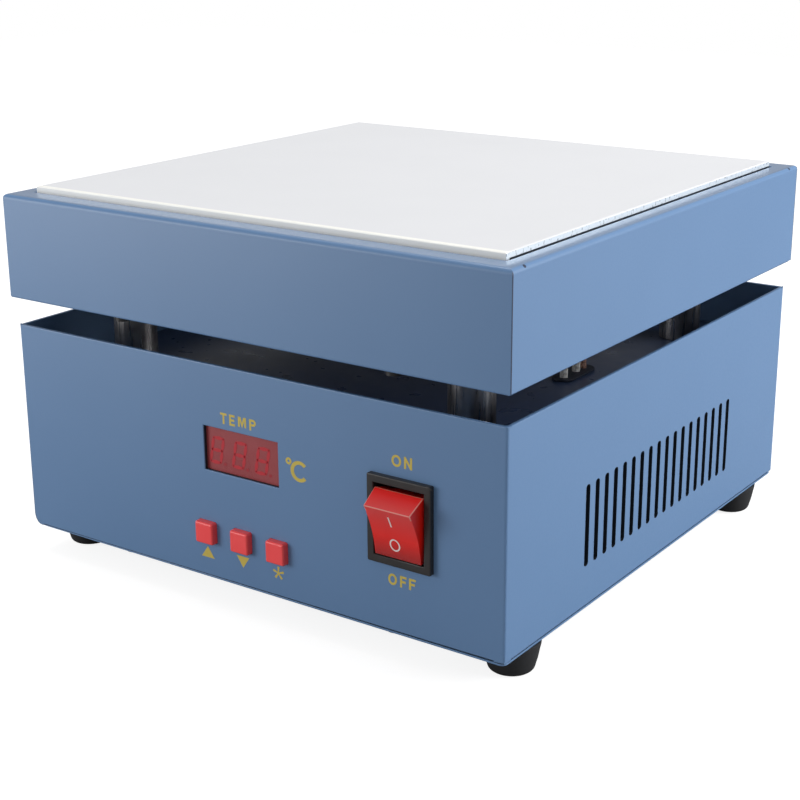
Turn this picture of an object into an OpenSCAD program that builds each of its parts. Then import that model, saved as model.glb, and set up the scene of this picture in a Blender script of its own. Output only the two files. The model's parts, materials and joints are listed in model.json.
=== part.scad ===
// Bench preheating hot plate: a square aluminium plate in a folded steel head, which stands on
// four pillars over an open-topped base with the controls and the electronics.
// Millimetres, +Z up, the front faces -Y. The origin is on the floor under the middle of the case.

/* [Lower case] */
// Width and depth of the square lower case
base_w = 212.8; // [206:0.2:240]
// Height of the lower case from its underside to its open rim
base_h = 79.8; // [77:0.2:110]
// Thickness of the painted sheet steel
sheet_t = 1.5; // [1.2:0.1:1.8]
// Outside radius of the four upright bends
corner_r = 2.5; // [2:0.1:4]
// Radius that rounds the bottom corners of the walls
toe_r = 4; // [2.5:0.1:5]
// Width of the lip that is folded in along the bottom edge
lip_w = 12; // [8:0.5:14]
// Thickness of the bottom plate
bottom_t = 1; // [0.8:0.1:2]
// Distance of the bottom plate's edge from the case's outside
bottom_inset = 0.8; // [0.4:0.1:1.5]
// Height of the deck's top above the case's underside
deck_level = 61; // [59:0.5:66]
// Thickness of the deck
deck_t = 1.5; // [1:0.1:2]

/* [Side vents] */
// Number of upright slots in each side
vent_count = 18; // [4:1:20]
// Width of a slot
vent_w = 2.3; // [1.5:0.1:3]
// Height of a slot with its round ends
vent_h = 29.5; // [16:0.5:36]
// Distance from slot to slot
vent_pitch = 6.54; // [5:0.02:7]
// Height of the slots' middle above the case's underside
vent_z = 30.6; // [26:0.1:36]
// Distance of the row's middle behind the case's middle
vent_y = 0.9; // [-3:0.1:3]

/* [Heater head] */
// Distance that the head stands out past the lower case on each side
head_over = 1.6; // [0:0.1:4]
// Height of the head's folded shell
head_h = 38.6; // [36:0.2:60]
// Open height between the lower case's rim and the head
air_gap = 10.4; // [8:0.2:20]
// Outside radius of the folds round the head's top and bottom
fold_r = 1.8; // [1.6:0.1:2.5]
// Width of the lip that is folded in under the head
head_lip_w = 12; // [10:0.5:14]
// Thickness of the pan that closes the head from below
pan_t = 1.2; // [0.8:0.1:2]
// Distance of the pan's edge from the head's outside
pan_inset = 6; // [4:0.5:8]

/* [Heating plate] */
// Distance of the plate's left and right edges from the head's outside
plate_border_x = 8; // [7.5:0.1:12]
// Distance of the plate's front and rear edges from the head's outside
plate_border_y = 9.5; // [8:0.1:12]
// Thickness of the aluminium plate
plate_t = 8; // [7:0.5:10]
// Height of the plate's face above the head's top
plate_proud = 2.2; // [1:0.1:3]
// Gap between the plate and the head all round
plate_gap = 0.8; // [0.5:0.1:1.5]
// Chamfer round the plate's top edge
plate_chamfer = 0.4; // [0.2:0.1:1]
// Diameter of the tubular heating element
element_d = 8; // [6:0.5:8.5]
// Distance of the element's outer rows from the plate's front and rear edges
row_margin = 28.5; // [22:0.5:32]
// Distance of the element's cross run from the plate's left edge
run_margin = 12; // [10:0.5:18]
// Centre-line radius of the elbows that turn the element's ends down
elbow_r = 12; // [9:0.5:12]
// Distance of the element's two ends right of the middle
terminal_x = 48; // [40:0.5:50]
// Thickness of the clamp plate under the element
clamp_t = 6; // [5.5:0.5:7]
// Thickness of the insulation board
insulation_t = 10; // [6:0.5:10]

/* [Pillars] */
// Outside diameter of the four visible pillars
pillar_d = 16; // [12:0.5:18]
// Distance of the pillars' axes from the lower case's left or right side
pillar_inset_x = 31.4; // [28:0.2:34]
// Distance of the pillars' axes from the lower case's front or rear
pillar_inset_y = 29; // [27:0.2:34]
// Diameter of the rods that clamp the whole stack together
rod_d = 5; // [4:0.5:6]
// Outside diameter of the hidden posts below the deck
post_d = 9; // [8:0.5:10]

/* [Front controls] */
// Width of the display window
display_w = 33; // [30:0.5:35]
// Height of the display window
display_h = 16.2; // [14:0.2:17]
// Clear height between the display module and the deck above it
display_clear = 0.9; // [0.5:0.1:4]
// Side of a square button cap
button_w = 7.9; // [7:0.1:10]
// Distance from button to button
button_pitch = 16; // [13:0.1:18]
// Place of the middle button, right of the case's middle
button_x = -0.3; // [-4:0.1:4]
// Height of the buttons' middle above the case's underside
button_z = 17.7; // [15:0.1:20]
// Height of a button's face in front of the panel
button_proud = 2.2; // [2:0.1:5]
// Travel of a button
button_travel = 0.5; // [0.3:0.05:0.6]

/* [Power switch] */
// Place of the switch's middle, right of the case's middle
switch_x = 67.2; // [62:0.1:72]
// Clear height between the switch's body and the deck above it
switch_clear = 5.3; // [3:0.1:8]
// Width of the switch's bezel
bezel_w = 24.8; // [24:0.1:28]
// Height of the switch's bezel
bezel_h = 30.4; // [30:0.1:34]
// Height of the bezel in front of the panel
bezel_t = 2; // [1.5:0.1:3]
// Depth of the hollow in the rocker's face
rocker_dish = 1.2; // [0.4:0.1:1.4]
// Angle that the rocker turns through from off to on
rocker_throw = 38; // [24:1:40]

/* [Power inlet] */
// Distance of the inlet's middle from the case's left side
inlet_inset = 56.4; // [50.4:0.5:66.4]
// Height of the inlet's middle above the case's underside
inlet_z = 32; // [30:0.5:36]
// Distance between the inlet's two screws
inlet_screw_pitch = 40; // [38:0.5:42]
// Travel of the fuse drawer
drawer_travel = 16; // [8:0.5:18]

/* [Feet] */
// Height of the rubber feet
foot_h = 11; // [9:0.5:16]
// Diameter of a foot at the case
foot_top_d = 21.6; // [18:0.2:21.8]
// Diameter of a foot at the floor
foot_tip_d = 14.6; // [13.4:0.2:17]
// Radius round the foot's lower edge
foot_edge_r = 2; // [1:0.1:2.2]
// Distance of a foot's axis from the case's left or right side
foot_inset_x = 10.9; // [10.9:0.1:14]
// Distance of a foot's axis from the case's front or rear
foot_inset_y = 19.9; // [12:0.1:21]

/* [Hidden] */
// Overrun of every cut past the surface that it opens
cut = 1;
// Roundness of circles
$fn = 48;

// Running gap between parts that slide or turn past each other
slide_gap = 0.3;
// Radial running clearance of a pin in its hole
pin_gap = 0.05;
// Room round a screw in its hole, on the diameter
screw_room = 0.4;
// Room round a piece in a cut-out of the sheet
panel_room = 0.2;

// Heights, from the floor up
base_z = foot_h;
floor_z = base_z + bottom_t;
rim_z = base_z + base_h;
deck_z = base_z + deck_level;
head_z = rim_z + air_gap;
head_top = head_z + head_h;
plate_z = head_top + plate_proud;
plate_under = plate_z - plate_t;
clamp_z = plate_under - clamp_t;
insulation_z = clamp_z - insulation_t;
pan_z = head_z - pan_t;

// Widths that follow the lower case
head_w = base_w + 2 * head_over;
plate_w = head_w - 2 * plate_border_x;
plate_d = head_w - 2 * plate_border_y;

// Planes and places of the base
front_y = -base_w / 2;
panel_y = front_y + sheet_t;
rear_y = base_w / 2;
pillar_x = base_w / 2 - pillar_inset_x;
pillar_y = base_w / 2 - pillar_inset_y;
foot_x = base_w / 2 - foot_inset_x;
foot_y = base_w / 2 - foot_inset_y;
deck_gap = 0.3;
deck_w = base_w - 2 * sheet_t - 2 * deck_gap;
lip_r = 2;

// Pan-head screws of the case, with the head's size
m3 = 3;
m3_head_d = 5.6;
m3_head_t = 2.2;
m4 = 4;
m4_head_d = 7.6;
m4_head_t = 2.6;
rod_head_d = 9.4;
rod_head_t = 3;
nut_across = 8;
nut_t = 4;
thread_depth = 5;

// Foot screw, sunk in the foot from below
foot_recess_d = 8.4;
foot_recess_h = 6;
foot_screw_len = 12;
foot_notch_d = 12;

// Screws round the bottom plate and the pan
rim_screw_inset = 6.5;
rim_screw_share = 0.3;
rim_screw_len = 6;

// Heating plate's supports and screws, each support beside a pillar's rod
spacer_step_x = 10;
spacer_step_y = 8.5;
spacer_x = pillar_x + spacer_step_x;
spacer_y = pillar_y + spacer_step_y;
spacer_d = 14;
spacer_neck_d = 10;
clamp_inset = 5;
clamp_w = plate_w - 2 * clamp_inset;
clamp_d = plate_d - 2 * clamp_inset;
clamp_screw_x = 30;
row_pitch = (plate_d / 2 - row_margin) * 2 / 5;
row_half = plate_w / 2 - run_margin - row_pitch;
groove_gap = 0.15;
terminal_drop = 6;
terminal_pin_d = 3;
terminal_pin_h = 4;
terminal_y = row_pitch / 2;
tube_end_z = insulation_z - terminal_drop / 3;
pin_end_z = tube_end_z - terminal_pin_h;

// Temperature probe in the middle of the plate
probe_d = 4;
probe_depth = 4;
probe_end_z = insulation_z - terminal_drop;

// Leads from the head to the base
lead_run = 18;
lead_x = terminal_x + lead_run;
lead_d = 3;
probe_lead_d = 2.4;
lead_y = -0.5;
lead_step = 9.3;
probe_lead_y = 14.2;
bush_y = (lead_y + probe_lead_y) / 2;
bush_w = 7;
bush_l = probe_lead_y - lead_y + bush_w;
bush_rim = 0.8;
bush_rim_t = 1;

// Control board behind the front panel, with its switches
display_gap = 0.5;
module_side = 2.3;
module_rim = 1.4;
module_w = display_w + 2 * module_side;
module_h = display_h + 2 * module_rim;
module_t = 8;
display_z = deck_level - deck_t - display_clear - module_h / 2;
board_t = 1.6;
board_y = panel_y + display_gap + module_t;
board_x0 = -44;
board_x1 = 40;
board_z0 = 6;
board_z1 = deck_level - deck_t - display_gap;
stud_d = 3;
stud_inset = 4;
stud_spacer_d = 5.5;
stud_nut_t = 2.4;
cap_flange = 1;
cap_flange_t = 1;
plunger_d = 3.4;
tact_w = 6;
tact_h = 3.5;
tact_pin_h = 1;
cap_back_y = panel_y + slide_gap + cap_flange_t;
tact_y = board_y - tact_h;

// Rocker and its housing: the bezel covers the cut-out, the walls stand round the rocker's well
bezel_r = 0.6;
bezel_side = 1.6;
bezel_rim = 1.2;
switch_body_w = bezel_w - 2 * bezel_side;
switch_body_h = bezel_h - 2 * bezel_rim;
switch_depth = 17;
switch_z = deck_level - deck_t - switch_clear - switch_body_h / 2;
side_wall = 1;
end_wall = 1;
bezel_y = front_y - bezel_t;
pivot_depth = 4.2;
pivot_y = bezel_y + pivot_depth;
pivot_z = base_z + switch_z;
well_w = switch_body_w - 2 * side_wall;
well_r = switch_body_h / 2 - end_wall;
rocker_w = well_w - 2 * slide_gap;
rocker_r = well_r - slide_gap;
rocker_edge = 51;
rocker_flare = 1.6;
rocker_draft = 0.55;
rocker_belly = 5;
rocker_pin_d = 3;
rocker_pin_l = 0.8;
blade_w = 4.8;
blade_t = 0.8;
blade_l = 7;
blade_x = 5.4;
blade_step = 9;

// Mains inlet with a fuse drawer under the socket
inlet_x = inlet_inset - base_w / 2;
inlet_y = rear_y;
inlet_flange_w = 50;
inlet_flange_h = 34;
inlet_flange_t = 3.4;
inlet_body_w = 27;
inlet_body_h = 31;
inlet_depth = 27;
socket_w = 24.4;
socket_h = 16.4;
socket_depth = 16;
socket_up = 6;
socket_bevel = 4;
prong_w = 4;
prong_t = 2;
prong_pitch = 14;
prong_l = 13;
prong_up = 2;
earth_down = 4;
tag_l = 8;
drawer_w = 22;
drawer_h = 8.6;
drawer_keep = 4;
drawer_l = drawer_travel + drawer_keep;
drawer_down = 9.6;
drawer_lip = 1.5;
drawer_lip_t = 1.5;
fuse_d = 5.2;
fuse_l = 20;

// Power board on the bottom plate, placed from the case's right side
power_margin = 16.4;
power_l = 120;
power_d = 100;
power_right = base_w / 2 - power_margin;
power_left = power_right - power_l;
power_y = power_d / 2;
power_spacer_h = 8;
power_spacer_d = 6;
power_inset = 5;
power_z = floor_z + power_spacer_h;
power_top = power_z + board_t;
strip_w = 12;
strip_h = 14;
strip_margin = 7;
core_w = 44;
core_d = 18;
core_h = 36;
coil_d = 34;
coil_h = 24;
coil_w = 28;
core_inset_x = 28;
core_inset_y = 26;
sink_inset_x = 44;
sink_inset_y = 24;
sink_w = 44;
sink_d = 16;
sink_h = 26;
sink_base_t = 4;
sink_fins = 7;
sink_fin_t = 1.5;
triac_w = 10;
triac_t = 4.5;
triac_h = 15;
stud_inset_x = 30.4;
stud_inset_y = 66.4;
stud_x = stud_inset_x - base_w / 2;
stud_y = base_w / 2 - stud_inset_y;
stud_h = 14;
wire_d = 2.4;
wire_turn = 10;
wire_lane = 6;
ribbon_w = 14;
ribbon_t = 1;
ribbon_turn = 12;

// Shared shapes

// Rectangle of w by d with round corners of radius r, centred
module rounded_rect(w, d, r) {
    square([w - 2 * r, d], center = true);
    square([w, d - 2 * r], center = true);
    for (sx = [-1, 1], sy = [-1, 1])
        translate([sx * (w / 2 - r), sy * (d / 2 - r)]) circle(r);
}

// Slot outline of overall length l along Y and width w
module slot_outline(w, l) {
    square([w, l - w], center = true);
    for (s = [-1, 1]) translate([0, s * (l - w) / 2]) circle(d = w);
}

// Box from one corner to the opposite one
module box(from, to) {
    translate(from) cube(to - from);
}

// The four corners of a rectangle of half sizes x and y
module corners(x, y) {
    for (sx = [-1, 1], sy = [-1, 1]) translate([sx * x, sy * y, 0]) children();
}

// Upright pin from z0 to z1
module pin(d, z0, z1) {
    translate([0, 0, z0]) cylinder(d = d, h = z1 - z0);
}

// Tube with a bore, from z0 to z1
module sleeve(d, bore, z0, z1) {
    difference() {
        pin(d, z0, z1);
        pin(bore, z0 - cut, z1 + cut);
    }
}

// Round bar from point a to point b
module bar(a, b, d) {
    v = b - a;
    l = norm(v);
    translate(a) rotate([0, acos(v[2] / l), atan2(v[1], v[0])]) cylinder(d = d, h = l);
}

// Unit vector from point a to point b
function unit(a, b) = (b - a) / norm(b - a);

// The points of a route with each inner corner eased over the length r on both sides
function eased(points, r) = [
    points[0],
    for (i = [1 : len(points) - 2])
        let (p = points[i], a = p + r * unit(p, points[i - 1]), c = p + r * unit(p, points[i + 1]))
            for (q = [a, (a + 2 * p + c) / 4, c]) q,
    points[len(points) - 1]
];

// Direction square to the wire's ring at point i: the mean of its two stretches
function heading(points, i) =
    let (last = len(points) - 1, a = unit(points[max(i, 1) - 1], points[max(i, 1)]),
        b = unit(points[min(i, last - 1)], points[min(i, last - 1) + 1]))
            (a + b) / norm(a + b);

// Ring i of a wire as offsets from point i, carried on from the ring before along its stretch
function ring(points, i, d, sides) =
    i == 0
        ? let (t = heading(points, 0), side = abs(t[2]) > 0.5 ? [1, 0, 0] : [0, 0, 1],
            u = unit([0, 0, 0], cross(t, side)), v = cross(t, u))
                [for (k = [0 : sides - 1]) d / 2 * (cos(360 * k / sides) * u + sin(360 * k / sides) * v)]
        : let (t = heading(points, i), s = unit(points[i - 1], points[i]))
            [for (o = ring(points, i - 1, d, sides)) o - s * (o * t) / (s * t)];

// Wire of diameter d swept along a route, with its corners eased over twice its diameter
module wire(route, d) {
    sides = 10;
    points = eased(route, min(2 * d, min([for (i = [1 : len(route) - 1])
        norm(route[i] - route[i - 1]) / 2.5])));
    count = len(points);
    rings = [for (i = [0 : count - 1]) for (o = ring(points, i, d, sides)) points[i] + o];
    walls = [for (i = [0 : count - 2], k = [0 : sides - 1])
        let (a = i * sides + k, b = i * sides + (k + 1) % sides)
            for (f = [[a, b, b + sides], [a, b + sides, a + sides]]) f];
    ends = concat([[for (k = [0 : sides - 1]) sides - 1 - k]],
        [[for (k = [0 : sides - 1]) (count - 1) * sides + k]]);
    polyhedron(rings, [for (f = concat(walls, ends)) [for (k = [1 : len(f)]) f[len(f) - k]]]);
}

// Pan-head screw that enters upwards, with its head's seat at z
module screw_up(d, head_d, head_t, z, length) {
    pin(d, z, z + length);
    pin(head_d, z - head_t, z);
}

// Hexagon prism of a nut with its thread's bore
module nut(across, bore, z0, z1) {
    difference() {
        translate([0, 0, z0]) cylinder(r = across / 2 / cos(30), h = z1 - z0, $fn = 6);
        pin(bore, z0 - cut, z1 + cut);
    }
}

// The places of the eight screws round a square of half size xy
module rim_places(xy) {
    along = xy * 2 * rim_screw_share;
    for (turn = [0 : 90 : 270], s = [-1, 1])
        rotate([0, 0, turn]) translate([s * along, xy, 0]) children();
}

// Lower case

rim_screw_xy = base_w / 2 - rim_screw_inset;

// Upright wall ring of the base, open at both ends
module base_ring(z0) {
    inner = base_w - 2 * sheet_t;
    translate([0, 0, z0]) linear_extrude(rim_z - z0)
        difference() {
            rounded_rect(base_w, base_w, corner_r);
            rounded_rect(inner, inner, corner_r - sheet_t);
        }
}

// Section of the lip: a quarter bend and the flat part, with the wall's outside at x = 0
module lip_section() {
    translate([-lip_w, 0]) square([lip_w - lip_r, sheet_t]);
    translate([-lip_r, lip_r]) intersection() {
        difference() {
            circle(lip_r);
            circle(lip_r - sheet_t);
        }
        translate([0, -lip_r]) square(lip_r);
    }
}

// Lips along the four bottom edges
module base_lips() {
    run = base_w - 2 * toe_r;
    for (turn = [0 : 90 : 270])
        rotate([0, 0, turn]) translate([base_w / 2, run / 2, floor_z])
            rotate([90, 0, 0]) linear_extrude(run) lip_section();
}

// What is cut off a wall's two bottom corners, seen square to the wall
module toe_cut() {
    for (s = [-1, 1])
        translate([s * base_w / 2, floor_z, 0]) linear_extrude(2 * toe_r, center = true)
            difference() {
                square(2 * toe_r, center = true);
                translate([-s * toe_r, toe_r]) circle(toe_r);
                translate([-s * 2 * toe_r, 0]) square(2 * toe_r, center = true);
                translate([-s * toe_r, 2 * toe_r]) square([4 * toe_r, 2 * toe_r], center = true);
            }
}

// Row of ventilation slots, cut through both sides at once
module vent_cuts() {
    for (i = [0 : vent_count - 1])
        translate([0, vent_y + (i - (vent_count - 1) / 2) * vent_pitch, base_z + vent_z])
            rotate([90, 0, 90]) linear_extrude(base_w + 2 * cut, center = true)
                slot_outline(vent_w, vent_h);
}

// Cut through the front wall with the children's outline, placed at x and z
module front_cut(x, z) {
    translate([x, panel_y + cut, base_z + z]) rotate([90, 0, 0])
        linear_extrude(sheet_t + 2 * cut) children();
}

module lower_case() {
    button_hole = button_w + 2 * panel_room;
    color([0.40, 0.52, 0.66]) difference() {
        union() {
            base_ring(floor_z + lip_r);
            base_lips();
        }
        for (turn = [0, 90, 180, 270])
            rotate([0, 0, turn]) translate([0, -base_w / 2, 0]) rotate([90, 0, 0]) toe_cut();
        vent_cuts();
        front_cut(0, display_z) square([display_w, display_h], center = true);
        for (i = [-1, 0, 1])
            front_cut(button_x + i * button_pitch, button_z)
                rounded_rect(button_hole, button_hole, sheet_t / 2);
        front_cut(switch_x, switch_z)
            square([switch_body_w + 2 * panel_room, switch_body_h + 2 * panel_room], center = true);
        translate([inlet_x, rear_y + cut, base_z + inlet_z]) rotate([90, 0, 0])
            linear_extrude(sheet_t + 2 * cut) {
                square([inlet_body_w + 2 * panel_room, inlet_body_h + 2 * panel_room], center = true);
                for (s = [-1, 1]) translate([s * inlet_screw_pitch / 2, 0]) circle(d = m3);
            }
        rim_places(rim_screw_xy) pin(m3, base_z, floor_z + lip_r + sheet_t);
        corners(foot_x, foot_y) pin(foot_notch_d, base_z, floor_z + lip_r + sheet_t);
    }
}

module bottom_plate() {
    w = base_w - 2 * bottom_inset;
    color([0.42, 0.54, 0.68]) difference() {
        translate([0, 0, base_z]) linear_extrude(bottom_t) rounded_rect(w, w, toe_r);
        rim_places(rim_screw_xy) pin(m3 + screw_room, base_z - cut, floor_z + cut);
        corners(pillar_x, pillar_y) pin(rod_d + screw_room, base_z - cut, floor_z + cut);
        corners(foot_x, foot_y) pin(m4, base_z - cut, floor_z + cut);
    }
}

module bottom_screws() {
    color([0.70, 0.71, 0.73])
        rim_places(rim_screw_xy) screw_up(m3, m3_head_d, m3_head_t, base_z, rim_screw_len);
}

// Rubber foot: tapered, round at its lower edge, with a recess for its screw
module foot(sx, sy) {
    tip_r = foot_tip_d / 2;
    color([0.13, 0.13, 0.14]) translate([sx * foot_x, sy * foot_y, 0]) difference() {
        rotate_extrude() {
            polygon([[0, 0], [tip_r - foot_edge_r, 0], [tip_r, foot_edge_r],
                [foot_top_d / 2, foot_h], [0, foot_h]]);
            intersection() {
                translate([tip_r - foot_edge_r, foot_edge_r]) circle(foot_edge_r);
                square(foot_top_d);
            }
        }
        pin(foot_recess_d, -cut, foot_recess_h);
        pin(m4 + screw_room, -cut, foot_h + cut);
    }
}

module foot_screws() {
    color([0.70, 0.71, 0.73]) corners(foot_x, foot_y) {
        screw_up(m4, m4_head_d, m4_head_t, foot_recess_h, foot_screw_len);
        nut(m4_head_d, m4, floor_z, floor_z + m4_head_t);
    }
}

// Deck and pillars

module deck() {
    color([0.16, 0.15, 0.16]) difference() {
        translate([0, 0, deck_z - deck_t]) linear_extrude(deck_t)
            rounded_rect(deck_w, deck_w, corner_r);
        corners(pillar_x, pillar_y) pin(rod_d + screw_room, deck_z - deck_t - cut, deck_z + cut);
        bush_hole(deck_z - deck_t, deck_z);
    }
}

module deck_posts() {
    color([0.75, 0.75, 0.77])
        corners(pillar_x, pillar_y) sleeve(post_d, rod_d + screw_room, floor_z, deck_z - deck_t);
}

// One visible pillar between the deck and the head
module pillar(sx, sy) {
    color([0.62, 0.62, 0.65]) translate([sx * pillar_x, sy * pillar_y, 0])
        sleeve(pillar_d, rod_d + screw_room, deck_z, pan_z);
}

module tie_rods() {
    color([0.70, 0.71, 0.73]) corners(pillar_x, pillar_y)
        screw_up(rod_d, rod_head_d, rod_head_t, base_z, head_z + nut_t + sheet_t - base_z);
}

module tie_nuts() {
    color([0.70, 0.71, 0.73])
        corners(pillar_x, pillar_y) nut(nut_across, rod_d, head_z, head_z + nut_t);
}

// Heater head

pan_screw_xy = head_w / 2 - pan_inset - m3_head_d / 2;

// Block of the head with its folded edges, drawn in by t all round
module head_block(t) {
    r = max(fold_r - t, sheet_t / 5);
    w = head_w - 2 * t;
    intersection_for(turn = [0, 90])
        rotate([90, 0, turn]) translate([0, (head_z + head_top) / 2, 0])
            linear_extrude(w, center = true) rounded_rect(w, head_h - 2 * t, r);
}

module upper_case() {
    mouth = head_w - 2 * head_lip_w;
    color([0.40, 0.52, 0.66]) difference() {
        head_block(0);
        head_block(sheet_t);
        translate([0, 0, head_top - sheet_t - cut]) linear_extrude(sheet_t + 2 * cut)
            square([plate_w + 2 * plate_gap, plate_d + 2 * plate_gap], center = true);
        translate([0, 0, head_z - cut]) linear_extrude(sheet_t + 2 * cut)
            square([mouth, mouth], center = true);
        rim_places(pan_screw_xy) pin(m3, head_z - cut, head_z + sheet_t + cut);
    }
}

module head_pan() {
    w = head_w - 2 * pan_inset;
    color([0.55, 0.56, 0.58]) difference() {
        translate([0, 0, pan_z]) linear_extrude(pan_t) rounded_rect(w, w, corner_r);
        rim_places(pan_screw_xy) pin(m3 + screw_room, pan_z - cut, head_z + cut);
        corners(pillar_x, pillar_y) pin(rod_d + screw_room, pan_z - cut, head_z + cut);
        corners(spacer_x, spacer_y) pin(m4 + screw_room, pan_z - cut, head_z + cut);
        bush_hole(pan_z, head_z);
    }
}

module pan_screws() {
    color([0.16, 0.16, 0.17])
        rim_places(pan_screw_xy) screw_up(m3, m3_head_d, m3_head_t, pan_z, rim_screw_len);
}

// Straight stretch of the element along X at height plate_under
module element_row(x0, x1, y, d) {
    translate([x0, y, plate_under]) rotate([0, 90, 0]) cylinder(d = d, h = x1 - x0);
}

// Bend of the element in the plate's plane about a centre
module element_bend(x, y, r, from, sweep, d) {
    translate([x, y, plate_under]) rotate([0, 0, from])
        rotate_extrude(angle = sweep) translate([r, 0]) circle(d = d);
}

// Bent tube of diameter d: three rows and three bends on each side of the middle, joined by
// the run at the left, with both ends turned down through the clamp
module element_path(d) {
    r = row_pitch / 2;
    outer = 3 * row_pitch / 2;
    for (s = [-1, 1]) {
        element_row(-row_half, terminal_x - elbow_r, s * r, d);
        element_bend(-row_half, s * 2 * r, r, 90, 180, d);
        element_row(-row_half, row_half, s * 3 * r, d);
        element_bend(row_half, s * 4 * r, r, -90, 180, d);
        element_row(-row_half, row_half, s * 5 * r, d);
        element_bend(-row_half, s * outer, row_pitch, s > 0 ? 90 : 180, 90, d);
        translate([terminal_x - elbow_r, s * r, plate_under - elbow_r]) rotate([90, 0, 0])
            rotate_extrude(angle = 90) translate([elbow_r, 0]) circle(d = d);
        translate([terminal_x, s * r, 0]) pin(d, tube_end_z, plate_under - elbow_r);
    }
    translate([-row_half - row_pitch, outer, plate_under]) rotate([90, 0, 0])
        cylinder(d = d, h = 2 * outer);
}

module heating_plate() {
    color([0.82, 0.82, 0.83]) difference() {
        intersection() {
            plate_section(plate_w, plate_d, 0);
            plate_section(plate_d, plate_w, 90);
        }
        element_path(element_d + 2 * groove_gap);
        corners(spacer_x, spacer_y) pin(m4, plate_under - cut, plate_under + thread_depth);
        pin(probe_d + 2 * groove_gap, plate_under - cut, plate_under + probe_depth);
        clamp_places() pin(m4, plate_under - cut, plate_under + thread_depth);
    }
}

// Plate of width w with its two top edges chamfered, run through its depth d
module plate_section(w, d, turn) {
    c = plate_chamfer;
    rotate([90, 0, turn]) linear_extrude(d, center = true)
        polygon([[-w / 2, plate_under], [w / 2, plate_under], [w / 2, plate_z - c],
            [w / 2 - c, plate_z], [c - w / 2, plate_z], [-w / 2, plate_z - c]]);
}

module heating_element() {
    color([0.45, 0.42, 0.38]) {
        element_path(element_d);
        for (s = [-1, 1])
            translate([terminal_x, s * terminal_y, 0]) pin(terminal_pin_d, pin_end_z, tube_end_z);
    }
}

// The screws that hold the clamp: two in each space between the element's rows
module clamp_places() {
    for (row = [-2 : 2], s = [-1, 1])
        translate([s * clamp_screw_x, row * row_pitch, 0]) children();
}

module element_clamp() {
    color([0.60, 0.60, 0.62]) difference() {
        translate([-clamp_w / 2, -clamp_d / 2, clamp_z]) cube([clamp_w, clamp_d, clamp_t]);
        element_path(element_d + 2 * groove_gap);
        stack_holes(clamp_z, plate_under);
        clamp_places() {
            pin(m4 + screw_room, clamp_z - cut, plate_under + cut);
            pin(m4_head_d + screw_room, clamp_z - cut, clamp_z + m4_head_t);
        }
    }
}

module clamp_screws() {
    color([0.70, 0.71, 0.73]) clamp_places()
        screw_up(m4, m4_head_d, m4_head_t, clamp_z + m4_head_t, clamp_t - m4_head_t + thread_depth);
}

// Holes that the clamp and the insulation share, for the spacers and the probe
module stack_holes(z0, z1) {
    corners(spacer_x, spacer_y) pin(spacer_neck_d + screw_room, z0 - cut, z1 + cut);
    pin(probe_d + screw_room, z0 - cut, z1 + cut);
}

module insulation_board() {
    color([0.90, 0.88, 0.82]) difference() {
        translate([-clamp_w / 2, -clamp_d / 2, insulation_z]) cube([clamp_w, clamp_d, insulation_t]);
        element_path(element_d + 2 * groove_gap);
        stack_holes(insulation_z, clamp_z);
    }
}

// Shouldered spacers: the insulation rests on the shoulder and the plate on the neck
module plate_spacers() {
    color([0.88, 0.86, 0.80]) corners(spacer_x, spacer_y) difference() {
        union() {
            pin(spacer_d, head_z, insulation_z);
            pin(spacer_neck_d, insulation_z, plate_under);
        }
        pin(m4 + screw_room, head_z - cut, plate_under + cut);
    }
}

module plate_screws() {
    color([0.70, 0.71, 0.73]) corners(spacer_x, spacer_y)
        screw_up(m4, m4_head_d, m4_head_t, pan_z, plate_under + thread_depth - pan_z);
}

module temperature_probe() {
    color([0.72, 0.72, 0.74]) pin(probe_d, probe_end_z, plate_under + probe_depth);
}

// Leads and their bushes

// Slot-shaped hole for a bush through a sheet between z0 and z1
module bush_hole(z0, z1) {
    translate([lead_x, bush_y, z0 - cut]) linear_extrude(z1 - z0 + 2 * cut)
        slot_outline(bush_w, bush_l);
}

// Bush with a groove for the sheet between z0 and z1, and a bore for each lead
module lead_bush(z0, z1) {
    difference() {
        translate([lead_x, bush_y, 0]) {
            translate([0, 0, z0]) linear_extrude(z1 - z0) slot_outline(bush_w, bush_l);
            for (z = [z0 - bush_rim_t, z1])
                translate([0, 0, z]) linear_extrude(bush_rim_t)
                    slot_outline(bush_w + 2 * bush_rim, bush_l + 2 * bush_rim);
        }
        for (i = [0, 1]) translate([lead_x, lead_y + i * lead_step, 0])
            pin(lead_d + 2 * pin_gap, z0 - bush_rim_t - cut, z1 + bush_rim_t + cut);
        translate([lead_x, probe_lead_y, 0])
            pin(probe_lead_d + 2 * pin_gap, z0 - bush_rim_t - cut, z1 + bush_rim_t + cut);
    }
}

module head_bush() {
    color([0.85, 0.84, 0.80]) lead_bush(pan_z, head_z);
}

module deck_bush() {
    color([0.20, 0.20, 0.21]) lead_bush(deck_z - deck_t, deck_z);
}

module heater_leads() {
    low = head_z + bush_rim_t + lead_d;
    color([0.92, 0.91, 0.88]) for (i = [0, 1]) {
        y0 = [-terminal_y, terminal_y][i];
        y1 = lead_y + i * lead_step;
        wire([[terminal_x, y0, pin_end_z], [terminal_x, y0, pin_end_z - lead_d / 2],
            [lead_x, y1, low], [lead_x, y1, power_top + strip_h / 2]], lead_d);
    }
}

module probe_lead() {
    low = head_z + bush_rim_t + 2 * probe_lead_d;
    color([0.72, 0.52, 0.46])
        wire([[0, 0, probe_end_z], [0, 0, low], [terminal_x, terminal_y + element_d, low],
            [lead_x, probe_lead_y, low], [lead_x, probe_lead_y, power_top + strip_h / 2]],
            probe_lead_d);
}

// Front controls

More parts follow.
